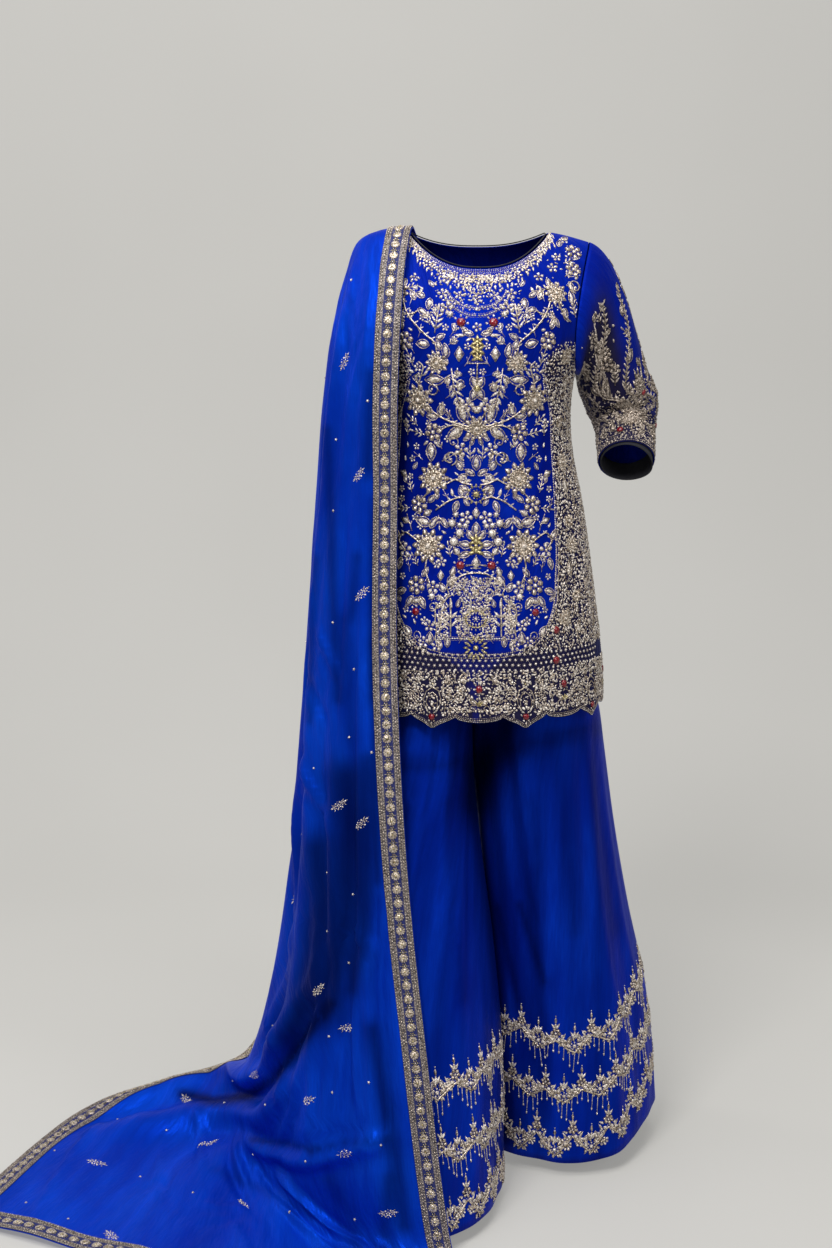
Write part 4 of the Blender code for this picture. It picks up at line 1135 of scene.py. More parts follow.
# Lining that shows at the left cuff, turned back a little
cuff_points = sleeve(*np.meshgrid(TURNS, np.linspace(0.90, 1.0, 8)), 1.0, LEFT_SLEEVE, out=-0.0032, past=(0.003 + 0.009 * ridge((np.meshgrid(TURNS, np.linspace(0.90, 1.0, 8))[0] - 0.02 + 0.5) % 1.0 - 0.5, 0.16))[..., None]) + np.array([0.0018, 0, 0])
cuff_lining = shell("cuff_lining_cloth", cuff_points, 0.0012, BLACK, closed=True)

# Sharara legs: the long folds with finer ones between
LEG_U, LEG_V = np.linspace(0, 1, many(68)), np.linspace(0, 1, many(78))


def leg_points(hand, side, table):
    u, v = np.meshgrid(LEG_U, LEG_V)
    p = leg(u, v, hand, side, table)
    # the hem is cut a little higher at the side seam
    p[..., 2] += (0.036 if hand > 0 else 0.014) * (1 - ease(0.0, 0.50, u)) * (1 - v) ** 3
    low = 1 - ease(0.0, 0.78, v)
    edge = np.minimum(ease(0, 0.10, u), ease(0, 0.10, 1 - u))
    extra = (
        0.0030 * np.sin(2 * np.pi * (4.3 * u + 0.35 * np.sin(2.2 * v) + 0.13 * hand)) * low
        + 0.0013 * np.sin(2 * np.pi * (9.1 * u + 0.5 * v + 0.3 * side)) * low**2
    )
    a, b = metres(p)
    for start, end, width, depth in (
        ((0.10, 0.72), (0.17, 0.20), 0.013, 0.0040),
        ((0.19, 0.86), (0.23, 0.36), 0.012, -0.0036),
        ((0.27, 0.80), (0.31, 0.10), 0.014, 0.0038),
        ((0.05, 0.62), (0.07, 0.12), 0.012, -0.0034),
        ((0.13, 0.30), (0.11, 0.03), 0.010, -0.0030),
        ((0.22, 0.34), (0.25, 0.04), 0.010, 0.0030),
    ):
        extra += crease(a, b, start, end, width, depth)
    return lifted(p, extra * edge * (1 - ease(0.66, 0.80, v)) * (0.35 + 0.65 * ease(0.0, 0.05, v)))


def seen(points):
    """Where places appear from the front, in 832 by 1248 parts of the view."""
    off = points - np.array([-0.09153, -2.6, 1.40])
    tilt = math.radians(11.4)
    ahead = off[..., 1] * math.cos(tilt) - off[..., 2] * math.sin(tilt)
    rise = off[..., 1] * math.sin(tilt) + off[..., 2] * math.cos(tilt)
    return 416 + 1733.3 * off[..., 0] / ahead, 624 - 1733.3 * rise / ahead


def painted_shade_strokes(points, strokes):
    """Painted shade in the folds, under the kurti's hem and between the legs, from 0 to 1: soft strokes drawn in the
    view, each a line, its width and its depth.
    """
    x, y = seen(points)
    total = np.zeros(x.shape)
    for line, wide, depth in strokes:
        best = np.full(x.shape, 1e9)
        for (ax, ay), (bx, by) in zip(line[:-1], line[1:]):
            t = np.clip(((x - ax) * (bx - ax) + (y - ay) * (by - ay)) / ((bx - ax) ** 2 + (by - ay) ** 2), 0, 1)
            best = np.minimum(best, np.hypot(x - ax - t * (bx - ax), y - ay - t * (by - ay)))
        total = 1 - (1 - total) * (1 - depth * ridge(best, wide))
    return np.clip(total, 0, 0.92)


# painted shade on the legs' fronts, in view coordinates: the shadow under the kurti's hem between the legs and darker
# lines along the folds
LEG_PAINTED_SHADE = [
    ([(508, 724), (498, 745), (484, 772), (477, 800)], 24, 0.90),
    ([(470, 770), (475, 820), (483, 880), (492, 940), (499, 1000)], 8, 0.65),
    ([(400, 765), (470, 762), (540, 740), (600, 728)], 9, 0.45),
    ([(520, 905), (533, 945), (545, 985)], 4, 0.50),
    ([(497, 905), (508, 955), (520, 1005)], 4, 0.50),
    ([(556, 745), (566, 850), (574, 930)], 8, 0.28),
    ([(586, 745), (600, 840), (614, 930)], 7, 0.30),
    ([(448, 800), (452, 900), (462, 1000)], 6, 0.25),
    ([(530, 800), (536, 860), (530, 920)], 7, 0.22),
    ([(500, 1010), (504, 1100), (506, 1180)], 7, 0.55),
]
# painted shade in the dupatta's deep folds and its hollows near the floor, in view coordinates
VEIL_PAINTED_SHADE = [
    ([(345, 780), (350, 830), (346, 900), (338, 960), (324, 1008)], 25, 0.80),
    ([(316, 850), (320, 900), (311, 960), (299, 1010), (288, 1038)], 19, 0.72),
    ([(367, 760), (367, 850), (363, 930), (352, 990)], 8, 0.50),
    ([(331, 1004), (312, 1028), (295, 1052), (275, 1078), (248, 1096), (214, 1101), (182, 1094)], 6, 0.85),
    ([(374, 640), (375, 760), (378, 880)], 5, 0.50),
    ([(372, 1030), (384, 1100), (396, 1160), (404, 1225)], 10, 0.62),
    ([(252, 1140), (285, 1143), (316, 1150)], 4, 0.50),
    ([(312, 1152), (345, 1143), (385, 1140)], 4, 0.45),
    ([(388, 1180), (384, 1246)], 8, 0.50),
    ([(327, 430), (331, 520), (333, 600), (338, 700)], 6, 0.45),
    ([(372, 375), (368, 470)], 8, 0.55),
    ([(377, 500), (372, 600), (373, 700)], 7, 0.50),
    ([(357, 555), (352, 615)], 6, 0.42),
    ([(345, 620), (350, 740)], 8, 0.34),
    ([(316, 560), (312, 640), (310, 720)], 5, 0.36),
    ([(215, 1170), (262, 1190), (310, 1215)], 6, 0.22),
    ([(330, 1180), (352, 1215), (360, 1246)], 9, 0.30),
]

legs, leg_charts = {}, {}
for name, hand, table in (("left", 1.0, LEFT_LEG), ("right", -1.0, RIGHT_LEG)):
    for part, side in (("front", -1.0), ("back", 1.0)):
        p = leg_points(hand, side, table)
        facing = 1.0 if hand * side > 0 else -1.0
        if facing < 0:
            p = p[:, ::-1]
        legs[f"{name}_{part}"] = shell(f"sharara_{name}_{part}_cloth", p, CLOTH, SILK, hollow=painted_shade_strokes(p, LEG_PAINTED_SHADE) * (part == "front"))
        leg_charts[f"{name}_{part}"] = Chart(p)

turn, height = np.meshgrid(np.linspace(0, 1, 97), np.linspace(WAIST_SEAM + SEAM, WAIST_TOP, 8))
around = 2 * np.pi * turn
deep = np.where(np.sin(around) < 0, smooth(HIPS, BODY_COLUMNS, "front", height), smooth(HIPS, BODY_COLUMNS, "back", height))
waist_points = np.stack([smooth(HIPS, BODY_COLUMNS, "half", height) * np.cos(around), deep * np.sin(around), height], -1)
waistband = shell("waistband_cloth", waist_points, 0.0025, SILK, closed=True)

# Neck binding
loop = []
for side, order in ((-1, 1), (1, -1)):
    at = np.linspace(-1, 1, 161)
    at = at[np.abs(at) <= math.asin(NECK_HALF / 0.1893) / float(edge_angle(np.array(NECK_POINT - 0.0005)))]
    edge = kurti(at, FRONT_V[-1], side)
    rise = edge + unit(np.array([0, 0, NECK_POINT + 0.04]) - edge) * 0.0036
    loop += list(rise[1:-1][::order])
bound = bpy.data.curves.new("neck_binding_cord", "CURVE")
bound.dimensions, bound.bevel_depth, bound.bevel_resolution = "3D", 0.0009, 2
spline = bound.splines.new("POLY")
spline.points.add(len(loop) - 1)
for spot, p in zip(spline.points, loop):
    spot.co = (p[0], p[1], p[2] - SHOULDER_HEIGHT, 1)
spline.use_cyclic_u = True
neck_binding = bpy.data.objects.new("neck_binding_cord", bound)
bound.materials.append(BLACK)
bpy.context.scene.collection.objects.link(neck_binding)

# Dupatta: places on it are given as a station and a share of its width
FALL_COUNT = many(88)


def even_rows(stations, table, back, columns):
    fine = np.linspace(0, 1, 401)
    return np.stack([along_row(fall(fine, s, table, back), lambda length: np.linspace(0, length, columns)) for s in stations])


front_stations = np.concatenate([np.linspace(0.005, 0.65, many(14))[:-1], np.linspace(0.65, 12.0, many(180))])
veil_front = even_rows(front_stations, FRONT_FALL, 0, FALL_COUNT)
VALLEY = [(6.2, 0.30), (6.74, 0.403), (7.42, 0.527), (8.0, 0.66), (8.34, 0.748), (8.75, 0.83), (9.04, 0.865), (9.44, 0.90), (10.04, 0.925), (10.7, 0.965), (11.2, 0.985)]
FRONT_CREASES = [
    # from station, share, to station, share, width, depth
    (7.75, 0.10, 8.30, 0.38, 0.011, 0.0070),
    (8.20, 0.36, 8.98, 0.63, 0.012, 0.0075),
    (0.70, 0.30, 2.60, 0.24, 0.010, 0.0034),
    (0.55, 0.62, 3.30, 0.66, 0.012, 0.0038),
    (1.60, 0.10, 3.90, 0.16, 0.009, -0.0045),
    (2.10, 0.36, 4.70, 0.34, 0.012, -0.0050),
    (2.55, 0.68, 5.20, 0.60, 0.012, 0.0056),
    (3.30, 0.20, 6.30, 0.20, 0.010, 0.0048),
    (3.55, 0.60, 3.90, 0.34, 0.007, 0.0038),
    (4.00, 0.64, 4.35, 0.42, 0.008, -0.0034),
    (4.60, 0.72, 5.30, 0.36, 0.009, 0.0046),
    (5.00, 0.46, 6.90, 0.34, 0.014, -0.0070),
    (5.20, 0.80, 6.60, 0.64, 0.012, 0.0050),
    (5.50, 0.14, 8.60, 0.12, 0.013, -0.0085),
    (5.75, 0.08, 6.50, 0.17, 0.007, 0.0036),
    (6.10, 0.26, 6.35, 0.14, 0.006, 0.0036),
    (6.40, 0.62, 7.70, 0.80, 0.012, 0.0046),
    (6.70, 0.24, 7.60, 0.22, 0.008, 0.0050),
    (6.80, 0.34, 7.90, 0.36, 0.008, -0.0042),
    (7.00, 0.28, 7.75, 0.30, 0.006, 0.0040),
    (7.30, 0.60, 8.10, 0.50, 0.008, 0.0042),
    (7.40, 0.42, 8.40, 0.52, 0.009, 0.0046),
    (8.60, 0.12, 10.2, 0.10, 0.012, 0.0060),
    (8.90, 0.20, 10.6, 0.18, 0.009, -0.0048),
    (8.80, 0.50, 9.50, 0.22, 0.010, 0.0058),
    (9.10, 0.56, 9.80, 0.30, 0.008, -0.0042),
    (9.00, 0.70, 9.90, 0.50, 0.010, 0.0046),
    (9.50, 0.84, 10.4, 0.62, 0.010, 0.0040),
    (9.60, 0.44, 10.4, 0.24, 0.009, 0.0050),
    (9.80, 0.60, 10.6, 0.46, 0.009, -0.0036),
    (10.1, 0.36, 11.2, 0.20, 0.010, 0.0046),
    (10.3, 0.78, 11.3, 0.66, 0.011, 0.0036),
    (10.6, 0.94, 11.8, 0.86, 0.010, 0.0042),
    (10.8, 0.52, 11.7, 0.40, 0.010, 0.0038),
    (11.0, 0.30, 11.9, 0.14, 0.009, 0.0042),
]


def place_of(points, stations, station, share):
    """Metres across and along a dupatta sheet at a station and a share of its width."""
    u, v = metres(points)
    i = int(np.clip(np.searchsorted(stations, station), 0, len(stations) - 1))
    j = int(round(share * (points.shape[1] - 1)))
    return u[i, j], v[i, j]


def creased(points, stations, creases, valley=(), seed=3):
    u, v = metres(points)
    h = np.zeros(u.shape)
    for s0, c0, s1, c1, width, depth in creases:
        h += crease(u, v, place_of(points, stations, s0, c0), place_of(points, stations, s1, c1), width, depth * 1.45, 0.35)
    chance = np.random.default_rng(seed)
    for _ in range(60):
        i, j = int(chance.integers(8, u.shape[0] - 8)), int(chance.integers(8, u.shape[1] - 8))
        a = np.array([u[i, j], v[i, j]])
        turn = chance.normal(np.pi / 2 if stations[i] < 8 else 0.6, 0.35)
        length = chance.uniform(0.05, 0.14)
        b = a + length * np.array([math.cos(turn), math.sin(turn)])
        h += crease(u, v, a, b, chance.uniform(0.005, 0.009), chance.uniform(-0.0026, 0.0034), 0.5)
    if len(valley):
        line = np.array([place_of(points, stations, s, c) for s, c in valley])
        best = np.full(u.shape, 1e9)
        signed = np.zeros(u.shape)
        for a, b in zip(line[:-1], line[1:]):
            t = np.clip(((u - a[0]) * (b[0] - a[0]) + (v - a[1]) * (b[1] - a[1])) / ((b - a) ** 2).sum(), 0, 1)
            du, dv = u - a[0] - t * (b[0] - a[0]), v - a[1] - t * (b[1] - a[1])
            d = np.hypot(du, dv)
            side = np.sign(du * (b[1] - a[1]) - dv * (b[0] - a[0]))
            closer = d < best
            best, signed = np.where(closer, d, best), np.where(closer, side * d, signed)
        reach = ease(6.0, 7.6, stations)[:, None] * (1 - ease(10.2, 11.4, stations))[:, None]
        h += reach * (0.021 * ridge(signed - 0.030, 0.018) - 0.012 * ridge(signed + 0.004, 0.012) + 0.012 * ridge(signed + 0.040, 0.020))
    return h


def beside(points, share_in, share_out):
    """1 in the middle of the sheet and 0 at its two long edges, over a band's width."""
    u, _ = metres(points)
    return ease(share_in, share_in + 0.03, u) * ease(share_out, share_out + 0.03, u[:, -1:] - u)


front_rise = creased(veil_front, front_stations, FRONT_CREASES, VALLEY)
keep = 0.15 + 0.85 * ease(0.010, 0.060, metres(veil_front)[0])
outer = metres(veil_front)[0][:, -1:] - metres(veil_front)[0]
keep *= 0.25 + 0.75 * ease(0.0, 0.05, outer)
keep *= ease(0.2, 0.9, front_stations)[:, None]
standing = 1 - ease(8.4, 9.6, front_stations)[:, None]
veil_front = lifted(veil_front, front_rise * keep)
# the inner edge stands clear of the worked row on the leg behind it
veil_front[..., 1] -= 0.0045 * np.exp(-(((veil_front[..., 0] + 0.096) / 0.055) ** 2) - ((veil_front[..., 2] - 0.234) / 0.065) ** 2)
floor_gap = 0.0048
veil_front[..., 2] = np.maximum(veil_front[..., 2], floor_gap + VEIL)

back_stations = np.concatenate([np.linspace(0.005, 0.65, many(14))[:-1], np.linspace(0.65, 6.6, many(90))])
veil_back = even_rows(back_stations, BACK_FALL, 1, many(84))
BACK_CREASES = [
    (0.8, 0.20, 3.6, 0.16, 0.010, 0.004),
    (1.2, 0.44, 5.0, 0.38, 0.010, -0.004),
    (1.5, 0.66, 5.6, 0.62, 0.010, 0.004),
    (3.2, 0.30, 6.2, 0.28, 0.009, 0.003),
    (3.0, 0.82, 6.3, 0.80, 0.009, 0.003),
]
back_rise = -creased(veil_back, back_stations, BACK_CREASES, seed=5)
inner = metres(veil_back)[0]
keep = (0.2 + 0.8 * ease(0.01, 0.06, inner)) * (0.2 + 0.8 * ease(0, 0.05, inner[:, -1:] - inner)) * ease(0.3, 1.0, back_stations)[:, None]
veil_back = lifted(veil_back, back_rise * keep)
dupatta_front = shell("dupatta_front_cloth", veil_front, VEIL, CREPE, hollow=painted_shade_strokes(veil_front, VEIL_PAINTED_SHADE))
dupatta_back = shell("dupatta_back_cloth", veil_back, VEIL, CREPE)

# ---------------------------------------------------------------- needlework on the kurti

SHAPES = {
    "rosette19": rosette(0.0195),
    "rosette15": rosette(0.0155),
    "flower11": together([flower(0.0112, SILVERS, PEARLS, 6), *ringed(6, 0.0100, dot(0.0011, PEARLS), 48)]),
    "flower9": flower(0.0092, PEARLS, SILVERS, 5),
    "flower7": flower(0.0070, PEARLS, SILVERS, 5),
    "flower6": flower(0.0060, PEARLS, SILVERS, 5),
    "dome3": together([dome(0.0032, PEARLS, 7, 0.8)] + ringed(8, 0.0036, dot(0.0009, SILVERS, 4))),
    "leaf10": leaf(0.0108, 0.0052, PEARLS),
    "leaf12": big_leaf(0.0130, 0.0064),
    "leaf14": leaf(0.0150, 0.0050, PEARLS),
    "bigleaf14": big_leaf(0.0150, 0.0092),
    "bigleaf18": big_leaf(0.0190, 0.0104),
    "bigleaf26": big_leaf(0.0262, 0.0124),
    "curl8": curl(0.0082),
    "curl7": curl(0.0068),
    "sprig30": sprig(0.026, 3, 0.0125, PEARLS, 42, 0.0009),
    "sprig20": sprig(0.017, 2, 0.0100, PEARLS, 42, 0.0008),
    "sprigdown": sprig(0.036, 6, 0.0100, PEARLS, 52, 0.0009),
    "twig": together([wire([(0, 0), (0.008, 0.0006), (0.017, 0.0)], 0.0006), wire([(0.006, 0), (0.011, 0.004)], 0.0005), wire([(0.009, 0), (0.014, -0.0038)], 0.0005), turned(leaf(0.006, 0.0022), (0.0165, 0))]),
    "diamond": together([leaf(0.016, 0.0098, PEARLS, 0.25, -0.008), wire([(-0.0085, 0), (0, 0.0054), (0.0085, 0), (0, -0.0054), (-0.0085, 0)], 0.0006)]),
    "tee": together([wire([(0, -0.0105), (0, 0.0105)], 0.0009), wire([(0, 0), (0.010, 0), (0.020, 0)], 0.0010), turned(dot(0.0014), (0.021, 0)), turned(dot(0.0012), (0, 0.011)), turned(dot(0.0012), (0, -0.011))]),
    "bow": together(
        [turned(big_leaf(0.0155, 0.0100), (0, 0), t) for t in (25, 155, -28, 208)]
        + [turned(curl(0.0062), (0.003, 0.013), 60), turned(curl(0.0062), (0.003, -0.013), -120)]
        + [dome(0.0042, GOLDS, 8, 0.9)]
        + ringed(8, 0.0050, dot(0.0010, PEARLS))
    ),
    "goldbud": together([turned(leaf(0.0092, 0.0056, GOLDS, 0.4), (0, 0), t) for t in (0, 55, -55, 115, -115)] + [dome(0.0030, GOLDS, 7, 0.9)] + ringed(6, 0.0042, dot(0.0009, PEARLS))),
    "golddome": together(ringed(12, 0.0070, leaf(0.0060, 0.0036, GOLDS, 0.5)) + ringed(9, 0.0048, dot(0.0012, GOLDS)) + [dome(0.0042, GOLDS, 8, 0.8)] + ringed(12, 0.0090, dot(0.0009, PEARLS), 15)),
    "goldlotus": together(ringed(14, 0.0078, leaf(0.0076, 0.0040, GOLDS, 0.5)) + ringed(10, 0.0050, petal(0.0050, 0.0030, GOLDS, 0.6), 18) + ringed(10, 0.0082, dot(0.0010, PEARLS), 9) + [dome(0.0034, GOLDS, 8, 0.9)]),
    "medallion": medallion(0.0155, 0.0190),
    "goldmed": together([medallion(0.0122, 0.0146, GOLDS), *ringed(16, 0.0128, dot(0.0011, GOLDS))]),
    "stone5": stone(0.0046),
    "wing": together([wire([(-0.012, 0.0), (0, 0.0012), (0.012, 0.0)], 0.0010), wire([(-0.006, -0.003), (0.006, -0.003)], 0.0008)]),
}

MOTIFS = [
    # shape, out mm, height m, turn, size, on both sides
    ('medallion', 2.0, 1.3866, 90, 1.0, False),
    ('flower7', 41.9, 1.394, 90, 1.0, True),
    ('flower7', 48.3, 1.3731, 60, 1.0, True),
    ('flower7', 25.4, 1.3706, 90, 0.8, True),
    ('flower6', 0.0, 1.3657, 90, 1.0, False),
    ('flower9', 43.7, 1.3535, 90, 0.9, True),
    ('dome3', 38.1, 1.3449, 0, 1.2, True),
    ('stone5', 22.9, 1.3337, 100, 1.0, True),
    ('flower6', 0.0, 1.327, 90, 1.0, False),
    ('leaf12', 5.1, 1.317, 12, 1.0, True),
    ('leaf14', 15.7, 1.3155, 0, 1.0, True),
    ('leaf12', 12.7, 1.32, 35, 0.8, True),
    ('leaf10', 7.6, 1.3125, -30, 0.8, True),
    ('goldbud', 0.0, 1.3062, 90, 1.0, False),
    ('goldbud', 0.0, 1.295, 90, 1.1, False),
    ('goldbud', 0.0, 1.2845, 90, 0.9, False),
    ('diamond', 25.4, 1.29, 90, 1.0, True),
    ('tee', 0.0, 1.277, -90, 1.0, False),
    ('sprig30', 59.9, 1.3187, 98, 1.0, True),
    ('sprig20', 66.5, 1.33, 60, 0.8, True),
    ('bigleaf14', 83.8, 1.3522, 195, 0.9, True),
    ('bigleaf14', 66.5, 1.367, -88, 0.9, True),
    ('leaf12', 73.7, 1.3682, 30, 1.0, True),
    ('leaf12', 87.6, 1.3645, 60, 1.0, True),
    ('bigleaf18', 67.3, 1.302, 8, 0.9, True),
    ('bigleaf14', 57.9, 1.31, 150, 0.8, True),
    ('bigleaf18', 43.2, 1.2837, 85, 0.9, True),
    ('leaf12', 41.9, 1.2825, -60, 0.9, True),
    ('bigleaf14', 52.1, 1.295, 70, 0.8, True),
    ('rosette15', 57.1, 1.277, 0, 0.92, True),
    ('rosette15', 113.5, 1.3731, 0, 0.95, True),
    ('sprig20', 101.6, 1.378, 150, 0.8, True),
    ('flower11', 101.6, 1.3075, 90, 1.0, True),
    ('sprig20', 90.2, 1.2725, 80, 0.95, True),
    ('flower7', 83.8, 1.27, 0, 0.8, True),
    ('leaf12', 105.4, 1.3237, 70, 1, True),
    ('leaf12', 111.8, 1.33, 110, 1, True),
    ('sprigdown', 36.1, 1.27, -97, 1.0, True),
    ('bigleaf26', 73.7, 1.253, 178, 0.95, True),
    ('rosette19', 82.5, 1.223, 0, 1.0, True),
    ('curl8', 68.6, 1.235, 140, 1.0, True),
    ('leaf12', 83.8, 1.25, 60, 1.0, True),
    ('leaf10', 77.5, 1.2575, 120, 1.0, True),
    ('leaf10', 87.6, 1.2625, 20, 1.0, True),
    ('bow', 0.0, 1.242, 90, 1.0, False),
    ('flower9', 14.7, 1.2186, 90, 1.0, True),
    ('bigleaf26', 15.7, 1.1919, 72, 1.0, True),
    ('bigleaf18', 19.8, 1.1843, -32, 1.15, True),
    ('bigleaf18', 22.4, 1.1899, -58, 1.0, True),
    ('rosette15', 0.0, 1.1843, 0, 1.0, False),
    ('bigleaf14', 52.1, 1.2016, 105, 1.0, True),
    ('bigleaf14', 54.6, 1.2001, 5, 1.0, True),
    ('bigleaf14', 64.8, 1.2046, 60, 0.8, True),
    ('twig', 33.0, 1.197, 50, 1.0, True),
    ('twig', 44.5, 1.1881, -25, 0.9, True),
    ('twig', 38.1, 1.1914, 80, 0.8, True),
    ('flower11', 61.5, 1.1779, 90, 1.0, True),
    ('bigleaf18', 64.5, 1.1628, -90, 1.15, True),
    ('leaf10', 61.0, 1.1653, -140, 0.9, True),
    ('leaf10', 68.1, 1.1653, -40, 0.9, True),
    ('sprig20', 73.7, 1.1741, 12, 0.9, True),
    ('sprig20', 83.8, 1.1868, 40, 0.8, True),
    ('sprig20', 97.8, 1.1716, 90, 0.8, True),
    ('flower7', 100.3, 1.1894, 0, 0.8, True),
    ('flower9', 21.6, 1.1536, 90, 0.95, True),
    ('curl7', 30.5, 1.1578, 70, 1.0, True),
    ('sprigdown', 22.9, 1.1479, -100, 0.45, True),
    ('flower6', 95.2, 1.3449, 0, 0.9, True),
    ('flower6', 105.4, 1.3436, 0, 0.8, True),
    ('leaf12', 109.2, 1.3399, -60, 1, True),
    ('flower11', 142.2, 1.4315, 70, 1.0, True),
    ('flower11', 140.5, 1.4065, 20, 0.95, True),
    ('curl8', 142.2, 1.3731, 80, 1.1, True),
    ('sprig20', 127.0, 1.3965, 30, 0.9, True),
    ('sprig20', 125.7, 1.4152, 20, 0.9, True),
    ('leaf12', 119.4, 1.439, 60, 1, True),
    ('leaf12', 132.1, 1.3891, -70, 1.1, True),
    ('leaf12', 127.0, 1.448, 40, 1, True),
    ('flower7', 115.6, 1.424, 0, 0.9, True),
    ('flower7', 128.3, 1.448, 0, 0.9, True),
    ('flower7', 88.9, 1.3965, 0, 0.9, True),
    ('sprig20', 83.8, 1.3866, -60, 0.7, True),
    ('flower7', 109.2, 1.409, 0, 1, True),
    ('leaf12', 100.3, 1.394, -80, 1, True),
    ('leaf10', 76.2, 1.3829, -70, 1, True),
    ('leaf12', 138.4, 1.3571, 100, 1.3, True),
    ('leaf12', 127.0, 1.3522, -100, 1, True),
    ('sprig20', 142.2, 1.3399, 110, 0.9, True),
    ('rosette19', 61.1, 1.1114, 0, 1.0, True),
    ('curl8', 35.8, 1.1306, 80, 1.15, True),
    ('sprig20', 49.0, 1.1365, 150, 0.8, True),
    ('leaf12', 20.6, 1.124, 60, 1, True),
    ('leaf12', 26.1, 1.1106, 150, 1.0, True),
    ('sprig20', 11.0, 1.1064, 35, 0.8, True),
    ('bigleaf18', 0.0, 1.124, 90, 0.95, False),
    ('leaf12', 2.2, 1.1173, 30, 1.0, True),
    ('leaf10', 6.1, 1.1106, -20, 1.0, True),
    ('golddome', 0.0, 1.0898, 0, 1.0, False),
    ('leaf12', 9.6, 1.094, 30, 1.0, True),
    ('leaf12', 26.1, 1.0802, -70, 1.1, True),
    ('bigleaf14', 17.9, 1.0871, 60, 0.75, True),
    ('twig', 38.5, 1.0788, 60, 0.8, True),
    ('leaf10', 33.0, 1.0857, 75, 1, True),
    ('flower11', 81.7, 1.0732, 0, 1.0, True),
    ('sprig20', 92.1, 1.0898, 70, 0.8, True),
    ('sprig20', 94.9, 1.0677, -10, 0.8, True),
    ('leaf12', 68.8, 1.0774, 140, 1, True),
    ('sprig20', 53.6, 1.0594, -95, 0.7, True),
    ('leaf12', 49.5, 1.0553, -120, 1, True),
    ('flower9', 14.3, 1.0567, 90, 0.9, True),
    ('dome3', 34.4, 1.0483, 0, 1.6, True),
    ('dome3', 23.4, 1.0344, 0, 1.6, True),
    ('dome3', 31.6, 1.0218, 0, 1.8, True),
    ('dome3', 15.1, 1.045, 0, 1.0, True),
    ('dome3', 23.4, 1.0455, 0, 1.0, True),
    ('dome3', 28.9, 1.0608, 0, 1.0, True),
    ('diamond', 0.0, 1.0636, 90, 0.8, False),
    ('bigleaf14', 0.0, 1.0316, 90, 1.0, False),
    ('goldbud', 0.0, 1.0232, 90, 1.1, False),
    ('bigleaf14', 5.5, 1.026, 60, 0.8, True),
    ('bigleaf14', 6.9, 1.0162, 10, 1.0, True),
    ('goldbud', 0.0, 1.0093, 90, 1.2, False),
    ('leaf12', 8.2, 1.0065, -20, 1.1, True),
    ('diamond', 0.0, 0.9925, 90, 0.9, False),
    ('rosette19', 68.8, 1.0143, 0, 1.05, True),
    ('bigleaf18', 64.6, 1.0455, 15, 1.1, True),
    ('leaf12', 66.0, 1.0399, 120, 1.2, True),
    ('flower9', 102.3, 1.0065, 0, 1.0, True),
    ('twig', 92.1, 1.0344, 65, 1.0, True),
    ('leaf12', 110.0, 1.0204, 50, 1.2, True),
    ('leaf12', 107.3, 0.9953, -80, 1.1, True),
    ('sprig20', 90.8, 1.0009, -30, 0.8, True),
    ('flower7', 49.5, 0.9925, 0, 0.9, True),
    ('flower7', 56.4, 0.9882, 0, 0.7, True),
    ('stone5', 22.6, 0.9882, 90, 0.95, True),
    ('wing', 0.0, 0.9882, 0, 1.0, True),
    ('twig', 70.1, 0.9754, -95, 0.9, True),
    ('flower9', 61.9, 0.9556, 0, 0.9, True),
    ('dome3', 63.3, 0.9428, 0, 1.3, True),
    ('flower11', 85.8, 0.957, 0, 1.05, True),
    ('leaf12', 90.8, 0.9414, -60, 1.2, True),
    ('leaf12', 81.1, 0.9414, -120, 1.2, True),
    ('leaf12', 100.4, 0.9499, -20, 1.2, True),
    ('leaf12', 77.0, 0.9698, 120, 1, True),
    ('stone5', 86.9, 0.9189, 60, 0.85, True),
    ('bigleaf14', 93.0, 0.932, 165, 1.0, True),
    ('curl7', 66.0, 0.9228, 120, 0.9, True),
    ('flower7', 67.4, 0.9005, 0, 1.0, True),
    ('flower6', 74.2, 0.9071, 0, 0.9, True),
    ('bigleaf14', 38.5, 0.9584, 110, 1.0, True),
    ('bigleaf14', 45.4, 0.9499, 60, 0.8, True),
    ('sprig20', 36.6, 0.894, 90, 1.45, True),
    ('sprig20', 52.3, 0.8914, 96, 1.35, True),
    ('goldlotus', 0.0, 0.8706, 0, 1.0, False),
    ('goldmed', 0.0, 0.9123, 90, 1.0, False),
    ('bigleaf14', 66.8, 0.8735, 90, 1.0, True),
    ('flower6', 75.6, 0.8763, 0, 1.2, True),
    ('curl7', 82.5, 0.8792, 60, 0.9, True),
    ('bigleaf14', 93.5, 0.8835, 50, 1.0, True),
    ('flower7', 56.4, 0.8721, 0, 1, True),
    ('leaf12', 41.2, 0.8706, 90, 1.0, True),
    ('leaf12', 49.5, 0.8692, 60, 0.9, True),
    ('stone5', 118.3, 0.8901, 90, 0.9, True),
    ('stone5', 118.8, 0.8463, 90, 0.9, True),
]
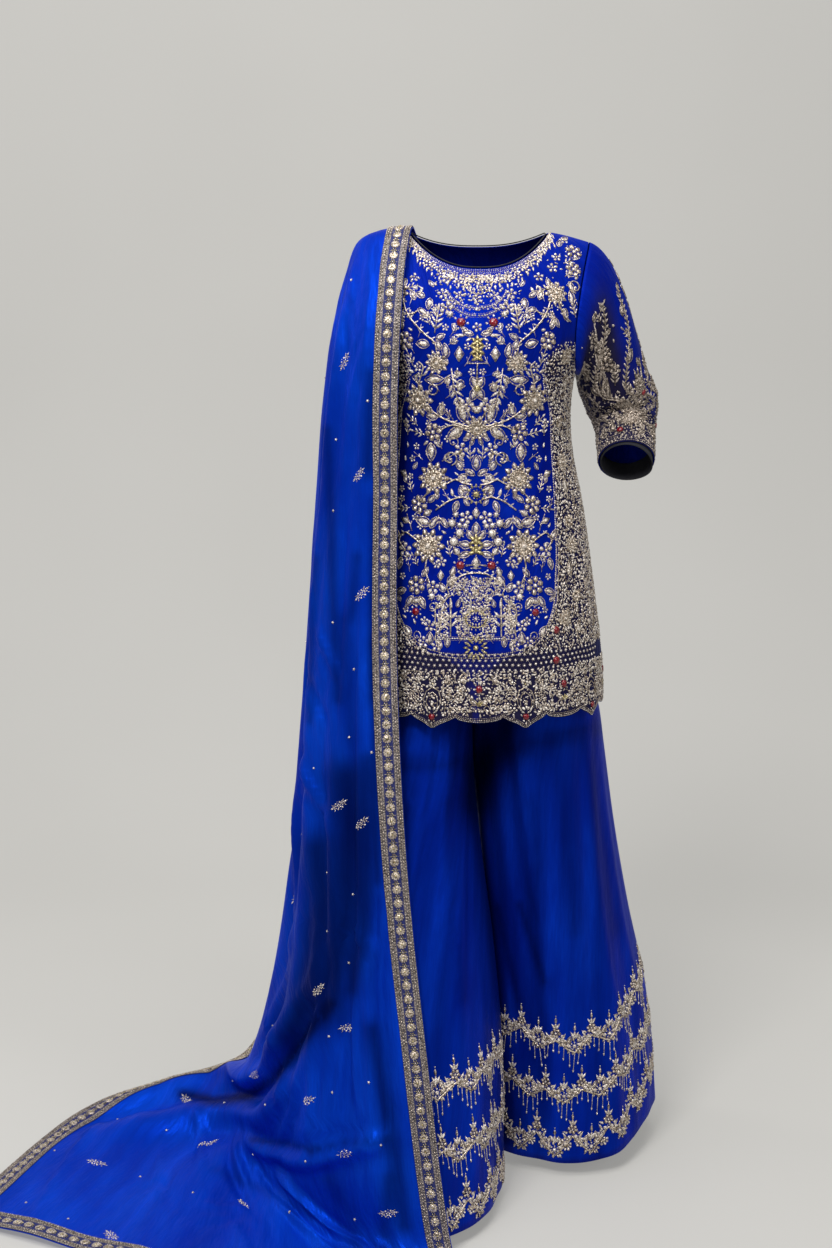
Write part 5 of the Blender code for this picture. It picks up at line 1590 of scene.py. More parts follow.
VINES = {
    'garland_1': [(47.0, 1.3731), (41.9, 1.3633), (33.0, 1.3542), (20.3, 1.3468), (10.2, 1.3436), (0.0, 1.3429)],
    'garland_2': [(41.9, 1.3755), (35.6, 1.367), (26.7, 1.3596), (15.2, 1.3552), (0.0, 1.3532)],
    'vine_1': [(104.6, 1.3633), (97.8, 1.3449), (86.4, 1.33), (72.4, 1.3162), (59.7, 1.305), (56.4, 1.29)],
    'vine_1b': [(97.8, 1.3449), (88.9, 1.3461), (83.8, 1.3498)],
    'vine_2': [(82.5, 1.2375), (81.3, 1.25), (77.5, 1.2625), (76.2, 1.2725), (82.5, 1.2787)],
    'vine_3': [(10.2, 1.1868), (27.9, 1.1914), (43.2, 1.1965), (54.6, 1.2026), (64.0, 1.2097)],
    'vine_4': [(12.7, 1.1817), (30.5, 1.1889), (41.9, 1.1868), (50.8, 1.1817)],
    'vine_5': [(2.0, 1.1919), (8.9, 1.2021), (13.2, 1.211)],
    'vine_6': [(17.8, 1.138), (24.1, 1.1467), (22.4, 1.1516)],
    'vine_7': [(113.5, 1.3694), (119.4, 1.3522), (127.0, 1.3399), (134.6, 1.3337)],
    'vine_8': [(0.0, 1.277), (0.0, 1.2575)],
    'vine_9': [(6.9, 1.0821), (19.2, 1.0857), (30.3, 1.0837), (41.2, 1.0788), (50.9, 1.0719), (57.8, 1.0663)],
    'vine_10': [(5.5, 1.1037), (16.5, 1.105), (30.3, 1.1106), (41.2, 1.105), (55.0, 1.1009)],
    'vine_11': [(102.3, 1.0065), (110.0, 1.0204), (101.8, 1.0316), (90.8, 1.026), (79.8, 1.0176)],
    'vine_12': [(38.5, 0.9669), (41.8, 0.9556), (38.5, 0.9471), (45.4, 0.9372), (56.4, 0.9294), (58.3, 0.9123), (56.4, 0.894), (59.1, 0.8806)],
    'vine_13': [(0.0, 0.9783), (16.5, 0.9754), (30.3, 0.9669), (36.3, 0.9584)],
    'vine_14': [(36.6, 0.8861), (36.6, 0.9202), (36.6, 0.9414)],
    'vine_15': [(68.8, 1.0037), (72.1, 0.9783), (66.0, 0.9613)],
    'vine_16': [(61.1, 1.1009), (72.1, 1.0871), (82.5, 1.076)],
    'base': [(0.0, 0.8821), (33.0, 0.8835), (59.1, 0.8806)],
    'u_line': [(118.8, 1.0148), (116.9, 0.9754), (115.0, 0.9333), (110.0, 0.9123), (97.6, 0.8887), (77.0, 0.8706), (49.5, 0.8629), (0.0, 0.8606)],
    'u_line_2': [(123.2, 1.0148), (121.3, 0.9754), (119.4, 0.932), (113.9, 0.9084), (100.4, 0.8848), (78.4, 0.8658), (49.5, 0.8578), (0.0, 0.8555)],
}
# side edge (105.4, 1.305) (116.9, 1.0037) lattice (0.0, 0.8606) (0.0, 0.8349) hem (0.0, 0.7805)

front_chart = Chart(front_points)


def kurti_side(x, z, mirrored):
    return AXIS + (-x if mirrored else x), z


BOLD = 1.27  # how much larger than the table the motifs are sewn


def on_front(chart, rows):
    """Every motif of a table on both halves of the front."""
    grouped = {}
    for kind, x, z, turn, size, both in rows:
        for mirror in (1.0, -1.0) if both else (1.0,):
            grouped.setdefault(kind, []).append((AXIS + mirror * x / 1000, z, turn, size, mirror))
    for kind in sorted(grouped):
        table = np.array(grouped[kind])
        keep = table[:, 0] > -0.150
        table = table[keep]
        i, j = chart.find(table[:, 0], table[:, 1])
        yield kind, i, j, table[:, 2], table[:, 3] * BOLD, table[:, 4]


work = Work("kurti_needlework")
for kind, i, j, turns_at, sizes, mirrors in on_front(front_chart, MOTIFS):
    work.put(front_chart, i, j, SHAPES[kind], turns_at, sizes, mirrors)

STEM_LEAF = leaf(0.0076, 0.0032, PEARLS, 0.3)
BEAD_ROW = dot(0.0012, PEARLS, 5, 0.9)
SMALL_ROW = dot(0.0009, SILVERS, 4, 0.9)
for name, points in VINES.items():
    for mirror in (1.0, -1.0):
        flat = curve([(AXIS + mirror * x / 1000, z) for x, z in points], 34)
        i, j = front_chart.find(flat[:, 0], flat[:, 1])
        if name.startswith("garland") or name in ("base",):
            work.beads(front_chart, i, j, 0.0036, leaf(0.0042, 0.0034, PEARLS, 0.5, -0.0021), jitter=0.0002)
            a, b = front_chart.shift(i, j, np.zeros(len(i)), np.full(len(i), 0.0026))
            work.beads(front_chart, a, b, 0.0022, SMALL_ROW)
            a, b = front_chart.shift(i, j, np.zeros(len(i)), np.full(len(i), -0.0026))
            work.beads(front_chart, a, b, 0.0022, SMALL_ROW)
        elif name.startswith("u_line"):
            work.beads(front_chart, i, j, 0.0032, leaf(0.0036, 0.0026, SILVERS, 0.5, -0.0018), jitter=0.0002)
        else:
            work.line(front_chart, i, j, 0.00125)
            if len(points) > 3:
                for side in (60.0, -60.0):
                    work.beads(front_chart, i[3:-3], j[3:-3], 0.0100 if side > 0 else 0.0118, STEM_LEAF, turn=90.0 + side)

# small sprays and flowers in the open ground between the motifs, alike on both sides
sewn = [(x / 1000, z, {"rosette19": 0.027, "rosette15": 0.023, "medallion": 0.024, "goldmed": 0.020, "goldlotus": 0.020, "bow": 0.022, "sprigdown": 0.016}.get(kind, 0.0125) * 1.08) for kind, x, z, _, _, _ in MOTIFS]
for points in VINES.values():
    flat = curve([(x / 1000, z) for x, z in points], 16)
    sewn += [(x, z, 0.0068) for x, z in flat]
chance = np.random.default_rng(77)
fill_rows = []
for _ in range(5200):
    x, z = chance.uniform(0.002, 0.108), chance.uniform(0.875, 1.385)
    if dense_share(np.array([AXIS + x + 0.006]), np.array([z]))[0] > 0.1:
        continue
    if any((x - a) ** 2 + (z - b) ** 2 < c * c for a, b, c in sewn):
        continue
    kind = ("flower6", "leaf12", "twig", "sprig20", "leaf10", "flower6", "diamond")[int(chance.integers(0, 7))]
    fill_rows.append((kind, x * 1000, z, float(chance.uniform(20, 160)), 0.74, True))
    sewn.append((x, z, 0.0105))
for kind, i, j, turns_at, sizes, mirrors in on_front(front_chart, fill_rows):
    work.put(front_chart, i, j, SHAPES[kind], turns_at, sizes, mirrors)

# Neck border: two beaded rows at the edge, then a dense band of small flowers
edge_v = len(FRONT_V) - 1
neck_j = np.flatnonzero(np.abs(front_points[-1, :, 0]) <= NECK_HALF + 0.004)


def below_neck(depth, count=90):
    """Places a distance below the neck edge, from shoulder to shoulder."""
    j = np.linspace(neck_j[0], neck_j[-1], count)
    run = front_chart.v[-1] - front_chart.v
    rows = np.arange(front_chart.rows)
    i = np.array([np.interp(depth, run[::-1, int(round(c))], rows[::-1]) for c in j])
    return i, j


for depth, pitch, shape in (
    (0.0022, 0.0026, dot(0.0011, PEARLS, 5, 0.9)),
    (0.0050, 0.0032, leaf(0.0030, 0.0024, SILVERS, 0.5, -0.0015)),
    (0.0080, 0.0026, dot(0.0011, PEARLS, 5, 0.9)),
    (0.0104, 0.0030, dot(0.0009, SILVERS, 4, 0.9)),
):
    work.beads(front_chart, *below_neck(depth), pitch, shape)
i, j = below_neck(0.0165)
work.beads(front_chart, i, j, 0.0130, flower(0.0068, PEARLS, SILVERS, 6), turn=10.0, jitter=0.0006)
i, j = below_neck(0.0255)
work.beads(front_chart, i, j, 0.0150, flower(0.0076, SILVERS, PEARLS, 5), turn=40.0, jitter=0.0012)
i, j = below_neck(0.0215)
work.beads(front_chart, i, j, 0.0062, leaf(0.0076, 0.0036, PEARLS, 0.35, -0.0035), turn=60.0, jitter=0.0014)
i, j = below_neck(0.0315)
work.beads(front_chart, i, j, 0.0088, leaf(0.0095, 0.0044, PEARLS, 0.35), turn=-90.0, jitter=0.0018)


def scattered(chart, inside, pitch, seed, jitter=0.42):
    """Places on a loose lattice of the cloth, in metres along and across, where inside says so."""
    chance = np.random.default_rng(seed)
    out_i, out_j = [], []
    middle = chart.cols // 2
    for i in np.arange(0, chart.v[:, middle].max() / pitch):
        row = np.interp(i * pitch, chart.v[:, middle], np.arange(chart.rows))
        reach = chart.u[int(row)]
        for k, u in enumerate(np.arange(pitch * (0.5 if int(i) % 2 else 1.0), reach[-1], pitch)):
            out_i.append(row)
            out_j.append(np.interp(u, reach, np.arange(chart.cols)))
    i, j = np.array(out_i), np.array(out_j)
    i, j = chart.shift(i, j, chance.uniform(-1, 1, len(i)) * pitch * jitter, chance.uniform(-1, 1, len(i)) * pitch * jitter)
    i, j = np.clip(i, 0.3, chart.rows - 1.3), (np.mod(j, chart.cols - 1) if chart.wrap else np.clip(j, 0.3, chart.cols - 1.3))
    p = chart.read(chart.p, i, j)
    keep = chance.random(len(i)) < inside(p[:, 0], p[:, 2] + SHOULDER_HEIGHT, i, j)
    return i[keep], j[keep], chance


FILLS = [
    # shape, share of the places
    (dot(0.00165, PEARLS, 5, 0.9), 0.26),
    (dot(0.00140, SILVERS, 5, 0.9), 0.20),
    (leaf(0.0066, 0.0031, SILVERS, 0.45, -0.0033), 0.24),
    (leaf(0.0074, 0.0035, PEARLS, 0.45, -0.0037), 0.20),
    (dome(0.0023, PEARLS, 6, 0.8), 0.10),
]


def filled(target, chart, inside, pitch, seed, flow=None):
    """Closely sewn beads and seeds; the seeds lie along flow, in degrees."""
    i, j, chance = scattered(chart, inside, pitch, seed)
    kind = chance.random(len(i))
    base = 0.0
    for shape, share in FILLS:
        pick = (kind >= base) & (kind < base + share)
        base += share
        if pick.any():
            p = chart.read(chart.p, i[pick], j[pick])
            turn = flow(p[:, 0], p[:, 2] + SHOULDER_HEIGHT) if flow else chance.uniform(0, 360, pick.sum())
            target.put(chart, i[pick], j[pick], shape, turn + chance.normal(0, 14, pick.sum()), chance.uniform(0.85, 1.20, pick.sum()))


def side_band(x, z, i, j):
    edge = smooth(SIDE_EDGE, ("height", "half"), "half", z)
    return ease(edge - 0.001, edge + 0.003, np.abs(x - AXIS)) * (z < 1.305) * (z > DENSE_FOOT) * 0.97


def herringbone(x, z):
    """Seeds slant up and out in alternate rows of the side bands."""
    lane = np.floor((np.abs(x - AXIS)) / 0.0095) % 2
    return np.where(lane > 0, 62.0, 118.0) * 1.0


sides = Work("kurti_side_needlework")
filled(sides, front_chart, side_band, 0.0040, 21, herringbone)
# larger leaves and rosettes set in the side bands
for z, x, kind, turn in (
    (1.285, 0.130, "rosette15", 0), (1.235, 0.128, "bigleaf26", 80), (1.190, 0.122, "flower11", 0), (1.165, 0.135, "bigleaf18", 70), (1.130, 0.128, "rosette15", 0),
    (1.085, 0.134, "bigleaf26", 95), (1.045, 0.138, "flower11", 0), (1.010, 0.142, "rosette15", 0), (0.965, 0.138, "bigleaf26", 80), (0.935, 0.150, "flower11", 20),
    (0.905, 0.132, "rosette15", 0), (0.880, 0.155, "bigleaf18", 100), (0.945, 0.164, "bigleaf18", 60),
):
    for mirror in (1.0, -1.0):
        i, j = front_chart.find([AXIS + mirror * x], [z])
        sides.put(front_chart, i, j, SHAPES[kind], turn, 0.9, mirror, lift=0.0010)

# corded rows down the side bands' inner edge and beside the seam
for offset in (0.0, 0.0035):
    for mirror in (1.0, -1.0):
        z = np.linspace(0.895, 1.285, 60)
        x = AXIS + mirror * (smooth(SIDE_EDGE, ("height", "half"), "half", z) + offset)
        i, j = front_chart.find(x, z)
        sides.beads(front_chart, i, j, 0.0034 if offset == 0 else 0.0028, leaf(0.0036, 0.0022, PEARLS, 0.5, -0.0018) if offset == 0 else SMALL_ROW)
for column_at in (1.6, front_chart.cols - 2.6):
    i = np.linspace(2, np.interp(1.24, front_points[:, 2, 2], np.arange(front_chart.rows)), 70)
    sides.beads(front_chart, i, np.full(70, column_at), 0.0028, dot(0.0012, PEARLS, 5, 0.9))

# lattice of small flowers under the U-shaped edge
hem_work = Work("kurti_hem_needlework")
LATTICE_DOT = together([dome(0.0021, PEARLS, 6, 0.8)] + ringed(6, 0.0026, dot(0.0006, SILVERS, 4)))
for row in range(4):
    z = 0.8595 - row * 0.0075
    xs = np.arange(-0.215, 0.216, 0.0088) + (0.0044 if row % 2 else 0)
    i, j = [], []
    half = front_chart.cols / 2
    level = np.interp(z, front_points[:, front_chart.cols // 2, 2], np.arange(front_chart.rows))
    u = front_chart.u[int(level)]
    middle = u[-1] / 2
    at = xs[(xs + middle > 0.004) & (xs + middle < u[-1] - 0.004)] + middle
    j = np.interp(at, u, np.arange(front_chart.cols))
    hem_work.put(front_chart, np.full(len(j), level), j, LATTICE_DOT, CHANCE.uniform(0, 60, len(j)))

# hem cords that follow the scallops
count = front_chart.cols * 3
for depth, pitch, shape in (
    (0.0016, 0.0026, dot(0.0012, PEARLS, 5, 0.9)),
    (0.0040, 0.0034, leaf(0.0036, 0.0022, SILVERS, 0.5, -0.0018)),
    (0.0064, 0.0026, dot(0.0010, SILVERS, 5, 0.9)),
):
    j = np.linspace(0.4, front_chart.cols - 1.4, count)
    rows = np.arange(front_chart.rows)
    i = np.array([np.interp(depth, front_chart.v[:, int(round(c))], rows) for c in j])
    hem_work.beads(front_chart, i, j, pitch, shape)


def hem_place(arc, depth):
    """A place at a distance along the hem from the centre and a height above its own edge."""
    u = front_chart.u[0]
    j = np.interp(arc / HEM_HALF * 0.5 * front_chart.cols + front_chart.cols / 2 - 0.5, np.arange(front_chart.cols), np.arange(front_chart.cols))
    i = np.interp(depth, front_chart.v[:, int(round(float(j)))], np.arange(front_chart.rows))
    return np.array([i]), np.array([float(j)])


SHRINE = together(
    [wire([(-0.002, -0.0115), (0.012, -0.0130), (0.024, -0.0095), (0.031, 0.0), (0.024, 0.0095), (0.012, 0.0130), (-0.002, 0.0115)], 0.0009)]
    + [wire([(-0.002, -0.0075), (0.011, -0.0088), (0.020, -0.0060), (0.025, 0.0), (0.020, 0.0060), (0.011, 0.0088), (-0.002, 0.0075)], 0.0008)]
    + [turned(dome(0.0027, PEARLS, 7, 0.8), at) for at in ((0.002, -0.0035), (0.002, 0.0035), (0.009, 0.0))]
    + [turned(flower(0.0060, PEARLS, GOLDS, 6), (0.034, 0))]
    + [turned(leaf(0.0085, 0.0036), (0.022, s * 0.0125), s * 60) for s in (1, -1)]
    + [turned(dome(0.0018, PEARLS, 6), (q, s * 0.0160)) for q in (0.002, 0.009, 0.016) for s in (1, -1)]
    + [turned(leaf(0.0065, 0.0030), (-0.004, s * 0.0125), 180 - s * 35) for s in (1, -1)]
    + [turned(dot(0.0011), (0.0165, s * 0.003)) for s in (1, -1)]
)
CROWN = together(
    [turned(stone(0.0044, 8), (0.030, 0))]
    + [turned(big_leaf(0.0125, 0.0070), (0.010, s * 0.003), s * 62) for s in (1, -1)]
    + [turned(leaf(0.012, 0.0046, GOLDS), (0.006, 0), t) for t in (0, 32, -32)]
    + [turned(curl(0.0058), (0.0, s * 0.007), 20 if s > 0 else -60) for s in (1, -1)]
    + [turned(dome(0.0020, PEARLS, 6), (0.0, s * q)) for q in (0.0, 0.0048, 0.0120, 0.0165) for s in (1, -1)]
    + [turned(flower(0.0050), (0.019, s * 0.0135)) for s in (1, -1)]
)
DROP = together([turned(stone(0.0042, 6), (0.0, 0))] + [turned(leaf(0.0110, 0.0042, PEARLS, 0.3), (0.004, s * 0.005), s * 35) for s in (1, -1)] + [turned(leaf(0.0075, 0.0032, PEARLS, 0.4), (-0.006, 0), 180)])
taken = []
for k in range(-4, 5):
    arc = k * LOBE
    if abs(arc) > HEM_HALF - 0.012:
        continue
    if k % 2:
        hem_work.put(front_chart, *hem_place(arc, 0.0260), SHRINE, 90)
        hem_work.put(front_chart, *hem_place(arc, 0.0160), DROP, 90, lift=0.0012)
        taken.append((arc, 0.0165, 0.010, 0.066))
    else:
        hem_work.put(front_chart, *hem_place(arc, 0.0170), CROWN, 90)
        taken.append((arc, 0.0165, 0.008, 0.056))
    for side in (1, -1):
        for up_by, off, kind, turn in ((0.016, 0.0260, "flower7", 0), (0.030, 0.0235, "curl7", 70), (0.044, 0.0250, "flower6", 0), (0.055, 0.0200, "leaf12", 70)):
            if abs(arc + side * off) < HEM_HALF - 0.006:
                hem_work.put(front_chart, *hem_place(arc + side * off, up_by), SHAPES[kind], turn, 0.9, float(side))


def hem_field(x, z, i, j):
    arc = (j / (front_chart.cols - 1) - 0.5) * 2 * HEM_HALF
    depth = np.array([np.interp(a, np.arange(front_chart.rows), front_chart.v[:, int(round(b))]) for a, b in zip(i, j)])
    share = np.where((z < 0.836) & (depth > 0.009), 0.88, 0.0)
    for at, half, low, high in taken:
        inside = (np.abs(arc - at) < half * 0.85) & (depth > low) & (depth < high)
        share = np.where(inside, share * 0.40, share)
    blue = ((arc / LOBE) % 2 > 0.78) & ((arc / LOBE) % 2 < 1.22) & (depth > 0.008) & (depth < 0.030)
    return np.where(blue, share * 0.25, share)


filled(hem_work, front_chart, hem_field, 0.0036, 31)


# the centre column's gold and silver filling
def temple(x, z, i, j):
    across = np.abs(x - AXIS)
    inside = (z > 0.884) & (z < 0.968) & (across < 0.0245 + 0.004 * np.sin((z - 0.88) * 90)) & (((x - AXIS) / 0.0125) ** 2 + ((z - 0.9058) / 0.0148) ** 2 > 1)
    flank = (z > 0.884) & (z < 0.945) & (across > 0.0405) & (across < 0.0560)
    shoulders = (z > 0.944) & (z < 0.972) & (across < 0.036)
    return np.where(inside | flank | shoulders, 0.92, 0.0)


filled(work, front_chart, temple, 0.0030, 41)

# sparse seeds round the neckline's medallion and between the upper vines
def chest(x, z, i, j):
    across = np.abs(x - AXIS)
    return np.where((z > 1.350) & (z < 1.398) & (across < 0.062), 0.45, 0.0) + np.where((z > 1.33) & (across > 0.100) & (across < 0.150) & (z < 1.43), 0.16, 0.0)


filled(work, front_chart, chest, 0.0042, 43)

# ---------------------------------------------------------------- needlework on the sleeves


def sleeve_work(name, points, hand, rich):
    """Leafy sprays under the shoulder, closing up to a fully worked cuff."""
    chart = Chart(points, wrap=True, out=1.0)
    middle = chart.p.mean(axis=1, keepdims=True)
    if np.median((chart.n * (chart.p - middle)).sum(-1)) < 0:
        chart.n = -chart.n
    made = Work(name)
    at_row = lambda s: np.interp(s, RUNS, np.arange(len(RUNS)))

    def inside(x, z, i, j):
        run = np.interp(i, np.arange(len(RUNS)), RUNS)
        turn = j / (chart.cols - 1)
        wave = 0.07 * np.sin(2 * np.pi * (3 * turn + 2.0 * run)) + 0.05 * np.sin(2 * np.pi * (5 * turn - 3.0 * run + 0.2))
        patches = 0.5 + 0.5 * np.sin(2 * np.pi * (4 * turn + 0.15 * np.sin(9 * run))) * np.sin(2 * np.pi * 3.6 * run + 1.2)
        inner = ridge((turn - 0.46 + 0.5) % 1.0 - 0.5, 0.20)
        body = ease(0.40, 0.56, run + wave) * (0.50 + 0.50 * patches)
        pit = ease(0.10, 0.30, run + wave) * inner * (0.45 + 0.45 * patches)
        cuff = ease(0.84, 0.88, run)
        return np.clip(np.maximum(np.maximum(body, pit), cuff * 0.95), 0, 0.95) * rich

    filled(made, chart, inside, 0.0049 if rich > 0.8 else 0.0068, 51 + int(hand))
    chance = np.random.default_rng(61)
    placed = []
    for s, count, kinds in (
        (0.115, 7, ("leaf12", "sprig20")),
        (0.155, 9, ("sprig30", "leaf12", "sprig20", "flower9")),
        (0.200, 10, ("sprig30", "sprig20", "leaf12", "flower9")),
        (0.245, 9, ("sprig30", "bigleaf18", "flower11", "sprig20", "bigleaf18")),
        (0.290, 10, ("bigleaf14", "sprig20", "flower11", "sprig30")),
        (0.340, 9, ("sprig30", "bigleaf26", "flower9", "bigleaf18")),
        (0.400, 10, ("flower11", "bigleaf14", "sprig30", "bigleaf18")),
        (0.465, 9, ("bigleaf18", "rosette15", "leaf12", "sprig30")),
        (0.530, 8, ("rosette15", "sprig30", "flower9", "bigleaf26")),
        (0.600, 8, ("bigleaf26", "flower11", "curl8", "sprig30")),
        (0.670, 8, ("rosette15", "bigleaf18", "flower9", "curl7")),
        (0.740, 8, ("flower11", "bigleaf26", "rosette15", "leaf12")),
        (0.800, 9, ("flower9", "rosette15", "curl8", "bigleaf18")),
        (0.860, 9, ("rosette15", "flower7")),
        (0.920, 10, ("flower9", "bigleaf14")),
    ):
        for k in range(count):
            turn = (k + 0.5 * (len(placed) % 2) + chance.uniform(-0.22, 0.22)) / count % 1.0
            if s < 0.30 and not (0.02 < turn < 0.46 or turn > 0.93):
                continue
            if rich < 0.8 and k % 2:
                continue
            placed.append((kinds[k % len(kinds)], at_row(s + chance.uniform(-0.02, 0.02)), turn * (chart.cols - 1), chance.uniform(35, 125), chance.uniform(0.85, 1.1), 1.0 if chance.random() < 0.5 else -1.0))
    for kind in sorted({row[0] for row in placed}):
        table = np.array([row[1:] for row in placed if row[0] == kind])
        made.put(chart, table[:, 0], table[:, 1], SHAPES[kind], table[:, 2], table[:, 3] * (1.0 if rich > 0.8 else 0.9), table[:, 4], lift=0.0010)
    for spot, (s, turn) in enumerate(((0.515, 0.14), (0.925, 0.30), (0.66, 0.62), (0.78, 0.02), (0.925, 0.80))):
        made.put(chart, [at_row(s)], [turn * (chart.cols - 1)], SHAPES["stone5"], 90, 0.9, lift=0.0016)
    # vines that wind down the sleeve
    for phase in (0.03, 0.15, 0.28, 0.41, 0.58, 0.80):
        s = np.linspace(0.12 + 0.06 * ((phase * 100) % 2), 0.86, 70)
        turn = (phase + 0.055 * np.sin(2 * np.pi * 2.4 * s + 9 * phase)) % 1.0
        i, j = at_row(s), turn * (chart.cols - 1)
        broken = np.flatnonzero(np.abs(np.diff(j)) > chart.cols / 2)
        for part in np.split(np.arange(len(s)), broken + 1):
            if len(part) > 3:
                made.line(chart, i[part], j[part], 0.0012)
                made.beads(chart, i[part], j[part], 0.0082, leaf(0.0098, 0.0044, PEARLS, 0.35), turn=50.0)
                made.beads(chart, i[part], j[part], 0.0086, leaf(0.0098, 0.0044, PEARLS, 0.35), turn=130.0)
    for s, pitch, shape in (
        (0.838, 0.0028, dot(0.0012, PEARLS, 5, 0.9)),
        (0.850, 0.0034, leaf(0.0036, 0.0022, SILVERS, 0.5, -0.0018)),
        (0.962, 0.0028, dot(0.0011, SILVERS, 5, 0.9)),
        (0.976, 0.0034, leaf(0.0036, 0.0022, PEARLS, 0.5, -0.0018)),
        (0.990, 0.0026, dot(0.0012, PEARLS, 5, 0.9)),
    ):
        made.beads(chart, np.full(120, at_row(s)), np.linspace(0, chart.cols - 1.01, 120), pitch, shape, turn=0.0)
    return made


left_work = sleeve_work("sleeve_left_needlework", left_points, 1.0, 1.0)
right_work = sleeve_work("sleeve_right_needlework", right_points, -1.0, 0.6)

# ---------------------------------------------------------------- needlework on the sharara

LOTUS = together(
    ringed(9, 0.0052, petal(0.0062, 0.0046, SILVERS, 0.4), 10)
    + ringed(7, 0.0026, petal(0.0034, 0.0026, PEARLS, 0.6), 0)
    + [dome(0.0027, PEARLS, 7, 0.9)]
    + [turned(leaf(0.0110, 0.0046, PEARLS, 0.35), (0.0085, 0), t) for t in (0, 26, -26)]
    + [turned(leaf(0.0090, 0.0040, SILVERS, 0.35), (0.0185, 0))]
    + [turned(dot(0.0010), (0.0285, 0))]
    + [turned(leaf(0.0120, 0.0046, SILVERS, 0.35), (0.0035, s * 0.0090), s * 68) for s in (1, -1)]
    + [turned(dome(0.0019, PEARLS, 6), (0.0010, s * q)) for q in (0.0125, 0.0165) for s in (1, -1)]
    + [turned(plain_flower(0.0048), (0.0060, s * 0.0165)) for s in (1, -1)]
    + [turned(leaf(0.0075, 0.0032, PEARLS, 0.4), (-0.0040, s * 0.0050), 180 - s * 30) for s in (1, -1)]
)
FINIAL = together(
    [turned(plain_flower(0.0062, SILVERS, PEARLS, 6), (0.0040, 0))]
    + [turned(leaf(0.0085, 0.0036, PEARLS, 0.35), (0.0085, 0), t) for t in (0, 34, -34)]
    + [turned(leaf(0.0085, 0.0036, SILVERS, 0.35), (0.0150, 0)), turned(dot(0.0009), (0.0240, 0))]
    + [turned(dome(0.0016, PEARLS, 6), (0.0, s * 0.0070)) for s in (1, -1)]
    + [turned(leaf(0.0075, 0.0030, SILVERS, 0.35), (0.0, s * 0.0045), s * 78) for s in (1, -1)]
)


def tassel(length):
    """A hanging string of fine beads that ends in a drop."""
    beads = [turned(dot(0.00090, PEARLS, 4, 0.9), (q, 0)) for q in np.arange(0.003, length - 0.002, 0.0058)]
    return together([wire([(0, 0), (length * 0.5, 0), (length, 0)], 0.00075, PEARLS)] + beads + [turned(leaf(0.0064, 0.0038, PEARLS, 0.55), (length - 0.0016, 0))])


ROW_LARGE, ROW_SMALL, ROW_BEAD = plain_flower(0.0072), plain_flower(0.0060), dome(0.0034, PEARLS, 6, 0.8)
TASSELS = [tassel(length) for length in (0.015, 0.020, 0.025, 0.031)]
LEG_ROWS = {
    # height of each row over the front panel at the side seam, the middle and the inseam, then over the back
    "left": [((0.262, 0.220, 0.252), (0.262, 0.240, 0.252)), ((0.180, 0.136, 0.148), (0.180, 0.150, 0.148)), ((0.096, 0.052, 0.054), (0.096, 0.066, 0.054))],
    "right": [((0.255, 0.236, 0.232), (0.255, 0.245, 0.232)), ((0.165, 0.140, 0.136), (0.165, 0.150, 0.136)), ((0.075, 0.050, 0.044), (0.075, 0.060, 0.044))],
}
PITCH = 0.058


def row_line(chart, heights, reach, phase, ends):
    """A row's scalloped line over a leg panel, read at even distances: places, distance and depth of the scallop."""
    level = np.interp(heights[1], chart.v[:, chart.cols // 2] + LEG_HEM, np.arange(chart.rows))
    j = np.linspace(0.6, chart.cols - 1.6, 420)
    run = np.interp(j, np.arange(chart.cols), chart.u[int(level)])
    share = j / (chart.cols - 1)
    if ends < 0:
        share = 1 - share
    z = np.interp(share, [0, 0.5, 1], heights) - 0.010 * np.sin(np.pi * share * 2) * 0.3
    k = ((run + phase) / PITCH) % 1.0
    v_shape = 1 - np.abs(2 * k - 1)
    z = z - reach * (v_shape - 0.5)
    i = np.array([np.interp(h - LEG_HEM, chart.v[:, int(round(c))], np.arange(chart.rows)) for h, c in zip(z, j)])
    return i, j, run, k


